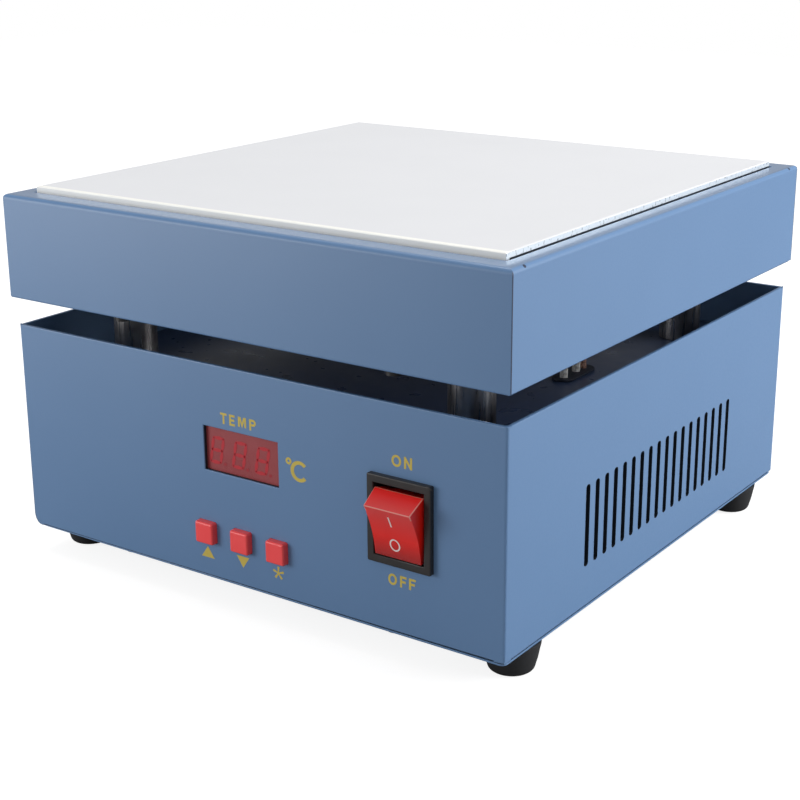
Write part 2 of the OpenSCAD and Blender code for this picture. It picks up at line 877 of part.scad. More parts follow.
// Places of the control board's four studs
module stud_places() {
    for (x = [board_x0 + stud_inset, board_x1 - stud_inset],
         z = [board_z0 + stud_inset, board_z1 - stud_inset])
        translate([x, 0, base_z + z]) rotate([-90, 0, 0]) children();
}

module control_board() {
    color([0.10, 0.35, 0.18]) difference() {
        box([board_x0, board_y, base_z + board_z0], [board_x1, board_y + board_t, base_z + board_z1]);
        stud_places() pin(stud_d + screw_room, board_y - cut, board_y + board_t + cut);
    }
}

module board_studs() {
    color([0.75, 0.75, 0.77]) stud_places() {
        pin(stud_spacer_d, panel_y, board_y);
        pin(stud_d, board_y, board_y + board_t + stud_nut_t);
        nut(stud_spacer_d, stud_d, board_y + board_t, board_y + board_t + stud_nut_t);
    }
}

module display_module() {
    y0 = panel_y + display_gap;
    z = base_z + display_z;
    color([0.25, 0.06, 0.06])
        box([-module_w / 2, y0, z - module_h / 2], [module_w / 2, board_y, z + module_h / 2]);
}

// Children at button i, with +Z of their frame pointing into the case
module at_button(i) {
    translate([button_x + i * button_pitch, 0, base_z + button_z]) rotate([-90, 0, 0]) children();
}

// The three small switches on the board, each with a hole for its plunger
module tact_switches() {
    color([0.20, 0.20, 0.21]) for (i = [-1, 0, 1]) at_button(i) difference() {
        translate([-tact_w / 2, -tact_w / 2, tact_y]) cube([tact_w, tact_w, tact_h]);
        pin(plunger_d + 4 * pin_gap, tact_y - cut, board_y - tact_pin_h / 2);
    }
}

// Red cap with rounded edges and the flange that keeps it behind the panel
module button_cap(i) {
    face_y = front_y - button_proud;
    edge = button_w / 10;
    flange_w = button_w + 2 * panel_room + 2 * cap_flange;
    color([0.75, 0.10, 0.12]) at_button(i) {
        intersection() {
            translate([0, 0, face_y]) linear_extrude(cap_back_y - face_y)
                rounded_rect(button_w, button_w, edge);
            intersection_for(turn = [0, 90])
                rotate([90, 0, turn]) translate([0, face_y + button_w / 2, 0])
                    linear_extrude(button_w + cut, center = true)
                        rounded_rect(button_w, button_w, edge);
        }
        translate([0, 0, cap_back_y - cap_flange_t]) linear_extrude(cap_flange_t)
            square([flange_w, flange_w], center = true);
    }
}

// Plunger between a cap and its switch, free to sink into the switch
module plunger(i) {
    color([0.15, 0.15, 0.16]) at_button(i)
        pin(plunger_d, cap_back_y, board_y - tact_pin_h / 2 - button_travel - slide_gap);
}

// Power switch

// Side view of the rocker in its middle position, with Y to the rear, Z up and the pivot at 0:
// a hollow face between two edges, ends that flare to the pivot's height, and a narrower back
module rocker_profile() {
    edge_y = -rocker_r * cos(rocker_edge);
    edge_z = rocker_r * sin(rocker_edge);
    hollow_r = (edge_z * edge_z + rocker_dish * rocker_dish) / (2 * rocker_dish);
    difference() {
        polygon([[edge_y, -edge_z], [edge_y, edge_z], [0, edge_z + rocker_flare],
            [rocker_belly, edge_z - rocker_flare], [rocker_belly, rocker_flare - edge_z],
            [0, -edge_z - rocker_flare]]);
        translate([edge_y + rocker_dish - hollow_r, 0]) circle(hollow_r, $fn = 192);
    }
}

// The rocker seen from above: its two sides draw in from the pivot to the face's edges
module rocker_plan() {
    half = rocker_w / 2;
    edge_y = -rocker_r * cos(rocker_edge);
    polygon([[-half, rocker_belly], [half, rocker_belly], [half, 0], [half - rocker_draft, edge_y],
        [rocker_draft - half, edge_y], [-half, 0]]);
}

// Translucent rocker on its two pins, tilted to its off position: the upper end stands out
module rocker() {
    color([0.80, 0.08, 0.08, 0.8])
        translate([switch_x, pivot_y, pivot_z]) rotate([rocker_throw / 2, 0, 0]) {
            intersection() {
                rotate([90, 0, 90]) linear_extrude(rocker_w, center = true) rocker_profile();
                linear_extrude(2 * rocker_r, center = true) rocker_plan();
            }
            rotate([0, 90, 0])
                cylinder(d = rocker_pin_d, h = rocker_w + 2 * rocker_pin_l, center = true);
        }
}

// Housing with a round well for the rocker, which opens through the bezel
module switch_housing() {
    color([0.10, 0.10, 0.11]) difference() {
        union() {
            translate([switch_x, front_y, pivot_z]) rotate([90, 0, 0])
                linear_extrude(bezel_t) rounded_rect(bezel_w, bezel_h, bezel_r);
            box([switch_x - switch_body_w / 2, front_y, pivot_z - switch_body_h / 2],
                [switch_x + switch_body_w / 2, front_y + switch_depth, pivot_z + switch_body_h / 2]);
        }
        translate([switch_x, pivot_y, pivot_z]) rotate([0, 90, 0]) {
            cylinder(r = well_r, h = well_w, center = true, $fn = 96);
            cylinder(d = rocker_pin_d + 2 * pin_gap, h = switch_body_w + 2 * cut, center = true);
        }
    }
}

module switch_blades() {
    y0 = front_y + switch_depth;
    color([0.85, 0.72, 0.42]) for (sx = [-1, 1], row = [-1, 0])
        translate([switch_x + sx * blade_x - blade_t / 2, y0, pivot_z + row * blade_step - blade_w / 2])
            cube([blade_t, blade_l, blade_w]);
}

// Power inlet

// Outline of the inlet's socket, with its two upper corners cut off
module socket_outline() {
    w = socket_w / 2;
    h = socket_h / 2;
    b = socket_bevel;
    polygon([[-w, -h], [w, -h], [w, h - b], [w - b, h], [b - w, h], [-w, h - b]]);
}

// Children in the inlet's frame: X to the left seen from behind, Y up, Z out of the rear
module at_inlet(depth) {
    translate([inlet_x, inlet_y + depth, base_z + inlet_z]) rotate([90, 0, 180]) children();
}

module power_inlet() {
    mouth = inlet_flange_t + cut;
    color([0.10, 0.10, 0.11]) difference() {
        union() {
            at_inlet(0) linear_extrude(inlet_flange_t)
                rounded_rect(inlet_flange_w, inlet_flange_h, inlet_flange_t);
            at_inlet(-inlet_depth) linear_extrude(inlet_depth)
                square([inlet_body_w, inlet_body_h], center = true);
        }
        at_inlet(inlet_flange_t - socket_depth) translate([0, socket_up])
            linear_extrude(socket_depth + cut) socket_outline();
        at_inlet(-drawer_l - slide_gap) translate([0, -drawer_down])
            linear_extrude(drawer_l + slide_gap + mouth)
                square([drawer_w + 2 * slide_gap, drawer_h + 2 * slide_gap], center = true);
        for (s = [-1, 1])
            at_inlet(-cut) translate([s * inlet_screw_pitch / 2, 0])
                cylinder(d = m3 + screw_room, h = mouth + cut);
    }
}

// Three flat prongs in the socket, with their tags behind the body
module inlet_prongs() {
    back = inlet_flange_t - socket_depth;
    color([0.80, 0.80, 0.82]) for (i = [-1, 0, 1]) {
        y = socket_up - prong_up + (i == 0 ? earth_down + prong_up : 0);
        at_inlet(back) translate([i * prong_pitch / 2 - prong_t / 2, y - prong_w / 2, 0])
            cube([prong_t, prong_w, prong_l]);
        at_inlet(-inlet_depth - tag_l) translate([i * prong_pitch / 2 - blade_t / 2, y - prong_w / 2, 0])
            cube([blade_t, prong_w, tag_l]);
    }
}

module inlet_screws() {
    color([0.70, 0.71, 0.73]) for (s = [-1, 1])
        translate([inlet_x + s * inlet_screw_pitch / 2, inlet_y + inlet_flange_t, base_z + inlet_z])
            rotate([90, 0, 0]) screw_up(m3, m3_head_d, m3_head_t, 0, inlet_flange_t + 2 * m3);
}

module fuse_drawer() {
    lip_y = inlet_flange_t + slide_gap;
    color([0.14, 0.14, 0.15]) difference() {
        union() {
            at_inlet(-drawer_l) translate([0, -drawer_down])
                linear_extrude(drawer_l + lip_y) square([drawer_w, drawer_h], center = true);
            at_inlet(lip_y) translate([0, -drawer_down]) linear_extrude(drawer_lip_t)
                square([drawer_w + 2 * drawer_lip, drawer_h + drawer_lip], center = true);
        }
        fuse_pocket();
    }
}

// Pocket in the drawer for the fuse, open to the inner end
module fuse_pocket() {
    at_inlet(-drawer_l - cut) translate([0, -drawer_down]) linear_extrude(drawer_l / 2 + cut)
        square([fuse_l + 2 * slide_gap, fuse_d + 2 * pin_gap], center = true);
}

module fuse() {
    y = inlet_y - 3 * drawer_l / 4;
    z = base_z + inlet_z - drawer_down;
    color([0.80, 0.80, 0.78])
        bar([inlet_x - fuse_l / 2, y, z], [inlet_x + fuse_l / 2, y, z], fuse_d);
}

// Power electronics

module power_board() {
    color([0.10, 0.35, 0.18]) difference() {
        box([power_left, -power_y, power_z], [power_right, power_y, power_top]);
        power_spacer_places() pin(m3 + screw_room, power_z - cut, power_top + cut);
    }
}

module power_spacer_places() {
    mid = (power_left + power_right) / 2;
    translate([mid, 0, 0])
        corners((power_right - power_left) / 2 - power_inset, power_y - power_inset) children();
}

// Spacers that stand on the bottom plate, with their studs through the board
module power_board_spacers() {
    color([0.75, 0.75, 0.77]) power_spacer_places() {
        pin(power_spacer_d, floor_z, power_z);
        pin(m3, power_z, power_top + stud_nut_t);
        nut(power_spacer_d, m3, power_top, power_top + stud_nut_t);
    }
}

module terminal_strip() {
    y0 = lead_y - strip_margin;
    y1 = probe_lead_y + strip_margin;
    color([0.88, 0.87, 0.84]) difference() {
        box([lead_x - strip_w / 2, y0, power_top], [lead_x + strip_w / 2, y1, power_top + strip_h]);
        for (i = [0, 1]) translate([lead_x, lead_y + i * lead_step, 0])
            pin(lead_d + 2 * pin_gap, power_top + strip_h / 2, power_top + strip_h + cut);
        translate([lead_x, probe_lead_y, 0])
            pin(probe_lead_d + 2 * pin_gap, power_top + strip_h / 2, power_top + strip_h + cut);
    }
}

// Laminated core round a wound bobbin
module transformer() {
    translate([power_left + core_inset_x, power_y - core_inset_y, power_top]) {
        color([0.35, 0.35, 0.37]) difference() {
            translate([-core_w / 2, -core_d / 2, 0]) cube([core_w, core_d, core_h]);
            for (s = [-1, 1])
                translate([s * coil_w / 3 - coil_w / 8, -core_d, (core_h - coil_h) / 2])
                    cube([coil_w / 4, 2 * core_d, coil_h]);
        }
        color([0.80, 0.60, 0.25]) for (s = [-1, 1])
            translate([-coil_w / 2, s > 0 ? core_d / 2 : -coil_d / 2, (core_h - coil_h) / 2])
                cube([coil_w, (coil_d - core_d) / 2, coil_h]);
    }
}

// Children at the middle of the heat sink's front corner line, on the power board
module at_sink() {
    translate([power_left + sink_inset_x, sink_inset_y - power_y, power_top]) children();
}

// Finned sink that stands on the board, fins to the front
module heat_sink() {
    step = (sink_w - sink_fin_t) / (sink_fins - 1);
    color([0.25, 0.25, 0.27]) at_sink() translate([-sink_w / 2, 0, 0]) {
        cube([sink_w, sink_base_t, sink_h]);
        for (i = [0 : sink_fins - 1])
            translate([i * step, sink_base_t - sink_d, 0]) cube([sink_fin_t, sink_d, sink_h]);
    }
}

module triac() {
    color([0.12, 0.12, 0.13])
        at_sink() translate([-triac_w / 2, sink_base_t, (sink_h - triac_h) / 2])
            cube([triac_w, triac_t, triac_h]);
}

// Live and neutral: from the inlet along the left side to the switch's lower blades, and from
// its upper blades down to the power board
module mains_wires() {
    tag_y = inlet_y - inlet_depth - tag_l;
    tag_z = base_z + inlet_z + socket_up - prong_up;
    blade_y = front_y + switch_depth + blade_l / 2;
    for (i = [-1, 1]) {
        x = inlet_x - i * prong_pitch / 2;
        back_y = tag_y - wire_turn - (i + 1) * wire_d;
        lane_x = -base_w / 2 + lip_w + wire_lane + (i + 1) * wire_d;
        low = floor_z + wire_d - (i - 1) * wire_d;
        blade = switch_x + i * blade_x;
        color([0.45, 0.28, 0.16])
            wire([[x, tag_y, tag_z], [x, back_y, tag_z], [x, back_y, low], [lane_x, back_y, low],
                [lane_x, blade_y, low], [blade, blade_y, low],
                [blade, blade_y, pivot_z - blade_step - blade_w / 2]], wire_d);
        top = pivot_z + blade_w / 2;
        end_y = power_inset - power_y;
        color([0.20, 0.30, 0.55])
            wire([[blade, blade_y, top], [blade, blade_y, top + wire_lane],
                [blade - wire_lane, blade_y + wire_d, top + wire_lane],
                [blade - wire_turn, end_y - wire_turn, top + wire_lane],
                [blade - wire_turn, end_y, power_top + wire_turn],
                [blade - wire_turn, end_y, power_top]], wire_d);
    }
}

// Earth wire with its ring on the stud
module earth_wire() {
    tag_y = inlet_y - inlet_depth - tag_l;
    up = base_z + inlet_z + socket_up + earth_down;
    ring_z = floor_z + m4_head_t;
    color([0.35, 0.60, 0.25]) {
        wire([[inlet_x, tag_y, up], [inlet_x, tag_y - wire_turn, up],
            [stud_x + wire_turn, stud_y, ring_z + wire_turn],
            [stud_x + (m4_head_d - wire_d) / 2, stud_y, ring_z + wire_d / 2]], wire_d);
        translate([stud_x, stud_y, 0]) sleeve(m4_head_d + wire_d, m4, ring_z, ring_z + blade_t);
    }
}

// Stud on the bottom plate for the earth wire
module earth_stud() {
    color([0.80, 0.68, 0.35]) translate([stud_x, stud_y, 0]) {
        pin(m4, floor_z, floor_z + stud_h / 2);
        nut(m4_head_d, m4, floor_z, floor_z + m4_head_t);
    }
}

// Flat cable between the two boards
module ribbon_cable() {
    y0 = board_y + board_t;
    y1 = y0 + ribbon_turn;
    z1 = base_z + button_z + ribbon_w;
    color([0.75, 0.75, 0.76]) {
        box([button_x - ribbon_w / 2, y0, z1], [button_x + ribbon_w / 2, y1, z1 + ribbon_t]);
        box([button_x - ribbon_w / 2, y1 - ribbon_t, power_top + ribbon_t],
            [button_x + ribbon_w / 2, y1, z1]);
        box([button_x - ribbon_w / 2, y1 - ribbon_t, power_top],
            [button_x + ribbon_w / 2, ribbon_turn - power_y, power_top + ribbon_t]);
    }
}

lower_case();
bottom_plate();
bottom_screws();
foot(-1, -1);  // foot_front_left
foot(1, -1);  // foot_front_right
foot(-1, 1);  // foot_rear_left
foot(1, 1);  // foot_rear_right
foot_screws();
deck();
deck_posts();
pillar(-1, -1);  // pillar_front_left
pillar(1, -1);  // pillar_front_right
pillar(-1, 1);  // pillar_rear_left
pillar(1, 1);  // pillar_rear_right
tie_rods();
tie_nuts();
upper_case();
head_pan();
pan_screws();
heating_plate();
heating_element();
element_clamp();
clamp_screws();
insulation_board();
plate_spacers();
plate_screws();
temperature_probe();
heater_leads();
probe_lead();
head_bush();
deck_bush();
control_board();
board_studs();
display_module();
tact_switches();
button_cap(-1);  // up_button
button_cap(0);  // down_button
button_cap(1);  // set_button
plunger(-1);  // up_plunger
plunger(0);  // down_plunger
plunger(1);  // set_plunger
switch_housing();
rocker();
switch_blades();
power_inlet();
inlet_prongs();
inlet_screws();
fuse_drawer();
fuse();
power_board();
power_board_spacers();
terminal_strip();
transformer();
heat_sink();
triac();
mains_wires();
earth_wire();
earth_stud();
ribbon_cable();
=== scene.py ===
import json
import logging
import math
from dataclasses import dataclass
from enum import Enum
from typing import Callable, Optional, Union

import bmesh
import bpy
from mathutils import Matrix, Vector


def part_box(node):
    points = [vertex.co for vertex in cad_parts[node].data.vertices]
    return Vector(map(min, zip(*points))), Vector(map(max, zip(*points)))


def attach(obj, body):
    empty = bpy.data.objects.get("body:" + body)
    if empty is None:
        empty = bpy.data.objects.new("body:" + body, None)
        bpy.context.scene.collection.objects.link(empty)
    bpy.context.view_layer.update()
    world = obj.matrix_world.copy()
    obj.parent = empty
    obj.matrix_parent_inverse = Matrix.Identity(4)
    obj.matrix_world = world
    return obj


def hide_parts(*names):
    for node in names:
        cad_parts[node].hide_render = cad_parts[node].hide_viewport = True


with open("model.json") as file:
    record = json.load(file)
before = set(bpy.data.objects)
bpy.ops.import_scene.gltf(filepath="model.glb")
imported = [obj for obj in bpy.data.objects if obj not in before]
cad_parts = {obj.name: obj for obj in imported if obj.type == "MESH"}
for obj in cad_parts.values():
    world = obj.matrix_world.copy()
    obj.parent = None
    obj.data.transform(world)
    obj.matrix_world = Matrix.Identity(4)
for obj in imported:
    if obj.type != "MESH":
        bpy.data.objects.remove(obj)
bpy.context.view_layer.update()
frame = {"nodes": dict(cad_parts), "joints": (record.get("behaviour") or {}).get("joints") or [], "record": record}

log = logging.getLogger("hot_plate")

Piece = bpy.types.Object
Node = bpy.types.Node
Socket = bpy.types.NodeSocket
Source = Union[Node, Socket]
Colour = Union[str, Socket]
Pair = tuple[float, float]
Triple = tuple[float, float, float]


def mm(length: float) -> float:
    """Turns millimetres to the scene's metres."""
    return length / 1000


# A point counts as on a curve's end, on a curve or on a face when it is this near
END_NEAR = mm(0.01)
CURVE_NEAR = mm(0.03)
FACE_NEAR = mm(0.1)


def linear(code: str) -> tuple[float, float, float, float]:
    """Turns an sRGB hex value to a linear colour.

    Args:
        code: The colour as six hex digits.

    Returns:
        Red, green and blue as linear light, and an alpha of 1.
    """
    parts = [int(code[i:i + 2], 16) / 255 for i in (0, 2, 4)]
    light = [c / 12.92 if c <= 0.04045 else ((c + 0.055) / 1.055) ** 2.4 for c in parts]
    return (*light, 1.0)


# Finishes


@dataclass(frozen=True)
class Graph:
    """The shader nodes of one material or of the world."""

    tree: bpy.types.NodeTree

    def add(self, kind: str, settings: Optional[dict] = None,
            links: Optional[dict] = None) -> Node:
        """Adds one shader node.

        Args:
            kind: The node's type, without the prefix that all shader nodes share.
            settings: Values by the name or number of an input, or by the name of a property.
            links: By the name or number of the input, the socket that goes there, or the
                node whose first output does.

        Returns:
            The new node.
        """
        node = self.tree.nodes.new("ShaderNode" + kind)
        for name, value in (settings or {}).items():
            if isinstance(name, int) or name in node.inputs:
                node.inputs[name].default_value = value
            else:
                setattr(node, name, value)
        for name, source in (links or {}).items():
            out = source.outputs[0] if isinstance(source, Node) else source
            self.tree.links.new(out, node.inputs[name])
        return node

    def axes(self, of: str = "Object") -> Node:
        """Splits the surface point's place, or its normal, in X, Y and Z."""
        return self.add("SeparateXYZ", links={0: self.add("TexCoord").outputs[of]})

    def grain(self, size: float, detail: float = 2.0, stretch: Triple = (1, 1, 1)) -> Node:
        """Adds a noise from 0 to 1 whose lumps have a size in metres, before the stretch."""
        place = self.add("Mapping", {"Scale": stretch},
                         {"Vector": self.add("TexCoord").outputs["Object"]})
        return self.add("TexNoise", {"Scale": 1 / size, "Detail": detail}, {"Vector": place})

    def relief(self, height: Source, depth: float) -> Node:
        """Turns a height from 0 to 1 to a surface relief of a real depth in metres."""
        return self.add("Bump", {"Distance": depth, "Strength": 1.0}, {"Height": height})

    def between(self, value: Source, low: float = 0.0, high: float = 1.0, start: float = 0.3,
                end: float = 0.7) -> Node:
        """Spreads a value so that start gives low and end gives high."""
        return self.add("MapRange", {"From Min": start, "From Max": end, "To Min": low,
                                     "To Max": high}, {"Value": value})

    def mixed(self, share: Source, first: Colour, second: Colour) -> Socket:
        """Mixes two colours, each of them a hex value or a socket.

        Args:
            share: The second colour's share.
            first: The first colour.
            second: The second colour.

        Returns:
            The mixed colour.
        """
        settings, links = {"data_type": "RGBA"}, {0: share}
        for slot, colour in ((6, first), (7, second)):
            if isinstance(colour, str):
                settings[slot] = linear(colour)
            else:
                links[slot] = colour
        return self.add("Mix", settings, links).outputs[2]

    def seen_directly(self) -> Node:
        """Gives 1 for what the camera sees, straight or through clear parts, or else 0."""
        path = self.add("LightPath").outputs
        return self.add("Math", {"operation": "MAXIMUM"},
                        {0: path["Is Camera Ray"], 1: path["Is Transmission Ray"]})


def fresh_graph(owner: Union[bpy.types.Material, bpy.types.World]) -> Graph:
    """Clears a material's or world's nodes for new ones."""
    owner.use_nodes = True
    owner.node_tree.nodes.clear()
    return Graph(owner.node_tree)


@dataclass(frozen=True)
class Finish:
    """A surface finish that is made once and shared by the pieces that have it."""

    name: str
    hue: str = "808080"
    roughness: float = 0.5

    def material(self) -> bpy.types.Material:
        """Gives the finish's material, which it makes on first use."""
        made = bpy.data.materials.get(self.name)
        if made is None:
            made = bpy.data.materials.new(self.name)
            graph = fresh_graph(made)
            graph.add("OutputMaterial", links={"Surface": self.surface(graph)})
        return made

    def surface(self, graph: Graph) -> Node:
        """Builds the finish's nodes.

        Args:
            graph: The material's nodes, still empty.

        Returns:
            The finish's shader.
        """
        raise NotImplementedError


@dataclass(frozen=True)
class PowderCoat(Finish):
    """Semi-gloss powder coat on folded steel: a soft sheen over a very fine orange peel.

    The head's coat also has the closed seams of its folded corners, as dark grooves that go
    up its two sides at a distance seam_y from the middle, and painted shade for the relief hole
    at the end of each front and rear fold. Its top is wiped smooth, and mirrors the plate's edge.
    """

    hue: str = "6385AE"
    shade: str = "5F81AA"
    roughness: float = 0.4
    peel: float = mm(0.9)
    peel_depth: float = mm(0.012)
    drift: float = mm(40)
    seam_and_hole_shade: str = "1A2740"
    seam_y: float = 0.0
    seam_half: float = mm(0.25)
    # The relief hole is a dark disc of the seam colour: painted shade
    relief_hole: Triple = (0.0, 0.0, 0.0)
    relief_radius: float = mm(0.75)
    wiped: float = 0.0

    def surface(self, graph: Graph) -> Node:
        """Builds the coat with its orange peel, the drift of its thickness and its seams."""
        peel = graph.grain(self.peel, 1.0)
        colour = graph.mixed(graph.grain(self.drift), self.shade, self.hue)
        if self.seam_y:
            colour = self.seamed(graph, colour)
        shiny = graph.between(graph.axes("Normal").outputs["Z"], 0.0, self.wiped, 0.8, 0.95)
        gloss = graph.between(peel, self.roughness - 0.03, self.roughness + 0.03)
        return graph.add("BsdfPrincipled", {"IOR": 1.5, "Coat Roughness": 0.12},
                         {"Base Color": colour, "Coat Weight": shiny, "Roughness": gloss,
                          "Normal": graph.relief(peel, self.peel_depth)})

    def seamed(self, graph: Graph, colour: Socket) -> Socket:
        """Darkens the coat in the corner seams, and paints shade in the relief holes.

        Args:
            graph: The material's nodes.
            colour: The coat's colour.

        Returns:
            The colour with the seams.
        """
        away = graph.add("VectorMath", {"operation": "ABSOLUTE"},
                         {0: graph.add("TexCoord").outputs["Object"]})
        parts = graph.add("SeparateXYZ", links={0: away})
        near = graph.add("Math", {"operation": "COMPARE", 1: self.seam_y, 2: self.seam_half},
                         {0: parts.outputs["Y"]})
        side = graph.add("Math", {"operation": "ABSOLUTE"},
                         {0: graph.axes("Normal").outputs["X"]})
        seam = graph.add("Math", {"operation": "MULTIPLY"}, {0: near, 1: side})
        distance = graph.add("VectorMath", {"operation": "DISTANCE", 1: self.relief_hole},
                             {0: away})
        hole = graph.add("Math", {"operation": "LESS_THAN", 1: self.relief_radius},
                         {0: distance.outputs["Value"]})
        dark = graph.add("Math", {"operation": "MAXIMUM"}, {0: seam, 1: hole})
        return graph.mixed(dark, colour, self.seam_and_hole_shade)


@dataclass(frozen=True)
class CoatedPlate(Finish):
    """Aluminium plate with a fine pale heat-proof coat, which ends on its sawn side edges.

    The coat is thicker where it has flowed over the round front edge, which is whiter, partly
    from that coat and partly as a painted highlight. The other edges are darkened with painted
    shade where they sink below the head's rim.
    """

    hue: str = "E4E5E8"
    shade: str = "E1E2E5"
    roughness: float = 0.45
    run_and_highlight: str = "FAF9F4"
    metal: str = "D6DEE4"
    scratch: str = "5E6A74"
    painted_gap_shade: str = "2A2F38"
    side_x: float = 0.0
    front_y: float = 0.0
    face_z: float = 0.0
    rim_z: float = 0.0
    coat_depth: float = mm(0.35)
    fine: float = mm(0.5)
    cloud: float = mm(30)
    saw_mark: float = mm(1.1)

    def surface(self, graph: Graph) -> Node:
        """Builds the matt coat, the bare side edges with their rough saw marks, and the painted shade below the
        rim.
        """
        bare = self.both(graph, ("X", "GREATER_THAN", self.side_x - mm(0.05)),
                         ("Z", "LESS_THAN", self.face_z - self.coat_depth))
        sunk = self.both(graph, ("Z", "LESS_THAN", self.rim_z),
                         ("Y", "GREATER_THAN", self.front_y))
        saw = graph.grain(self.saw_mark, 4.0, (1, 1, 0.5))
        marks = graph.mixed(graph.between(saw, end=0.42), self.scratch, self.metal)
        flat = graph.mixed(graph.grain(self.cloud), self.shade, self.hue)
        # Whiter front edge: partly thicker coat, partly a painted highlight
        white = graph.mixed(self.limit(graph, "Y", "LESS_THAN", self.front_y), flat, self.run_and_highlight)
        # Painted shade on the edges that sink below the head's rim
        colour = graph.mixed(sunk, graph.mixed(bare, white, marks), self.painted_gap_shade)
        metal = graph.add("Math", {"operation": "MULTIPLY", 1: 0.5}, {0: bare})
        height = graph.add("Mix", {"data_type": "FLOAT"},
                           {0: bare, 2: graph.grain(self.fine, 3.0), 3: saw})
        return graph.add("BsdfPrincipled", {"Roughness": self.roughness},
                         {"Base Color": colour, "Metallic": metal,
                          "Normal": graph.relief(height, mm(0.04))})

    def both(self, graph: Graph, *limits: tuple[str, str, float]) -> Node:
        """Gives 1 where two limits hold, and 0 elsewhere."""
        return graph.add("Math", {"operation": "MULTIPLY"},
                         {i: self.limit(graph, *limit) for i, limit in enumerate(limits)})

    def limit(self, graph: Graph, axis: str, test: str, value: float) -> Node:
        """Tests a surface point's place against a limit.

        Args:
            graph: The material's nodes.
            axis: X, which is taken without its sign, Y or Z.
            test: The comparison's name in Blender.
            value: The limit in metres.

        Returns:
            1 where the test holds, and 0 elsewhere.
        """
        part = graph.axes().outputs[axis]
        if axis == "X":
            part = graph.add("Math", {"operation": "ABSOLUTE"}, {0: part})
        return graph.add("Math", {"operation": test, 1: value}, {0: part})


@dataclass(frozen=True)
class WorkedMetal(Finish):
    """Bare or plated metal, with streaks along its drawing, rolling or milling direction.

    The streaks are finer on the real metal, and are drawn as coarse as they need to show.
    """

    dull: str = "707074"
    streak: Triple = (1, 1, 0.05)
    grain_size: float = mm(0.5)
    blotch: float = mm(6)

    def surface(self, graph: Graph) -> Node:
        """Builds the streaks in relief and roughness, and the blotches in colour."""
        streaks = graph.grain(self.grain_size, 2.0, self.streak)
        blotches = graph.between(graph.grain(self.blotch, 3.0))
        gloss = graph.between(streaks, self.roughness - 0.08, self.roughness + 0.1)
        return graph.add("BsdfPrincipled", {"Metallic": 1.0},
                         {"Base Color": graph.mixed(blotches, self.dull, self.hue),
                          "Roughness": gloss, "Normal": graph.relief(streaks, mm(0.01))})


@dataclass(frozen=True)
class Moulded(Finish):
    """Moulded plastic or rubber: an even colour over a spark-eroded mould's fine grain."""

    shade: str = ""
    texture: float = mm(0.35)
    depth: float = mm(0.012)
    wear: float = mm(9)

    def surface(self, graph: Graph) -> Node:
        """Builds the grain and the slight change of gloss that handling leaves."""
        worn = graph.grain(self.wear)
        gloss = graph.between(worn, self.roughness - 0.04, self.roughness + 0.04)
        return graph.add("BsdfPrincipled", {"IOR": 1.5},
                         {"Base Color": graph.mixed(worn, self.shade or self.hue, self.hue),
                          "Roughness": gloss,
                          "Normal": graph.relief(graph.grain(self.texture), self.depth)})


@dataclass(frozen=True)
class ClearRed(Finish):
    """Translucent red polycarbonate: glossy, saturated where light comes through it, with a painted highlight at
    its lip and painted shade low in its well.
    """

    hue: str = "FF2218"
    # Paler red towards the lip is a painted highlight; darker red low in the well is painted shade
    lip: str = "F44E4C"
    deep: str = "8A2224"
    lip_highlight_y: Pair = (mm(-115), mm(-109.5))
    well_shade_z: Pair = (mm(37), mm(47))
    roughness: float = 0.16
    clear: float = 0.1
    ripple: float = mm(3)

    def surface(self, graph: Graph) -> Node:
        """Builds the glossy skin over a body with a painted highlight at its lip and painted shade in the well."""
        place = graph.axes().outputs
        # Painted highlight towards the lip, painted shade low in the well
        body = graph.mixed(graph.between(place["Y"], 0.0, 1.0, *self.lip_highlight_y), self.lip, self.hue)
        low = graph.between(place["Z"], 0.0, 1.0, *self.well_shade_z)
        return graph.add("BsdfPrincipled",
                         {"IOR": 1.58, "Roughness": self.roughness,
                          "Transmission Weight": self.clear, "Subsurface Weight": 0.35,
                          "Subsurface Radius": (1.0, 0.12, 0.08), "Subsurface Scale": mm(2.5)},
                         {"Base Color": graph.mixed(low, self.deep, body),
                          "Normal": graph.relief(graph.grain(self.ripple, 1.0), mm(0.01))})


@dataclass(frozen=True)
class Fibrous(Finish):
    """Pressed ceramic fibre or fired clay: matt, with a coarse soft grain."""

    shade: str = "B0A898"
    lump: float = mm(0.8)

    def surface(self, graph: Graph) -> Node:
        """Builds the lumps in colour and relief."""
        lumps = graph.grain(self.lump, 4.0)
        colour = graph.mixed(graph.between(lumps), self.shade, self.hue)
        return graph.add("BsdfPrincipled", {"Roughness": self.roughness},
                         {"Base Color": colour, "Normal": graph.relief(lumps, mm(0.08))})


@dataclass(frozen=True)
class Braided(Finish):
    """Braided glass-fibre sleeve: two sets of bands, which cross at a steep angle."""

    shade: str = "8A8378"
    band: float = mm(0.9)
    lean: float = 0.8

    def surface(self, graph: Graph) -> Node:
        """Builds the crossing bands from two waves and presses them into the surface."""
        place = graph.add("TexCoord").outputs["Object"]
        waves = {}
        for i, lean in enumerate((self.lean, -self.lean)):
            turn = graph.add("Mapping", {"Rotation": (lean, lean, 0)}, {"Vector": place})
            wave = graph.add("TexWave", {"bands_direction": "Z", "Scale": 0.31 / self.band,
                                         "Distortion": 0.4}, {"Vector": turn})
            waves[i] = wave.outputs["Fac"]
        weave = graph.add("Math", {"operation": "MAXIMUM"}, waves)
        return graph.add("BsdfPrincipled", {"Roughness": self.roughness},
                         {"Base Color": graph.mixed(weave, self.shade, self.hue),
                          "Normal": graph.relief(weave, mm(0.12))})


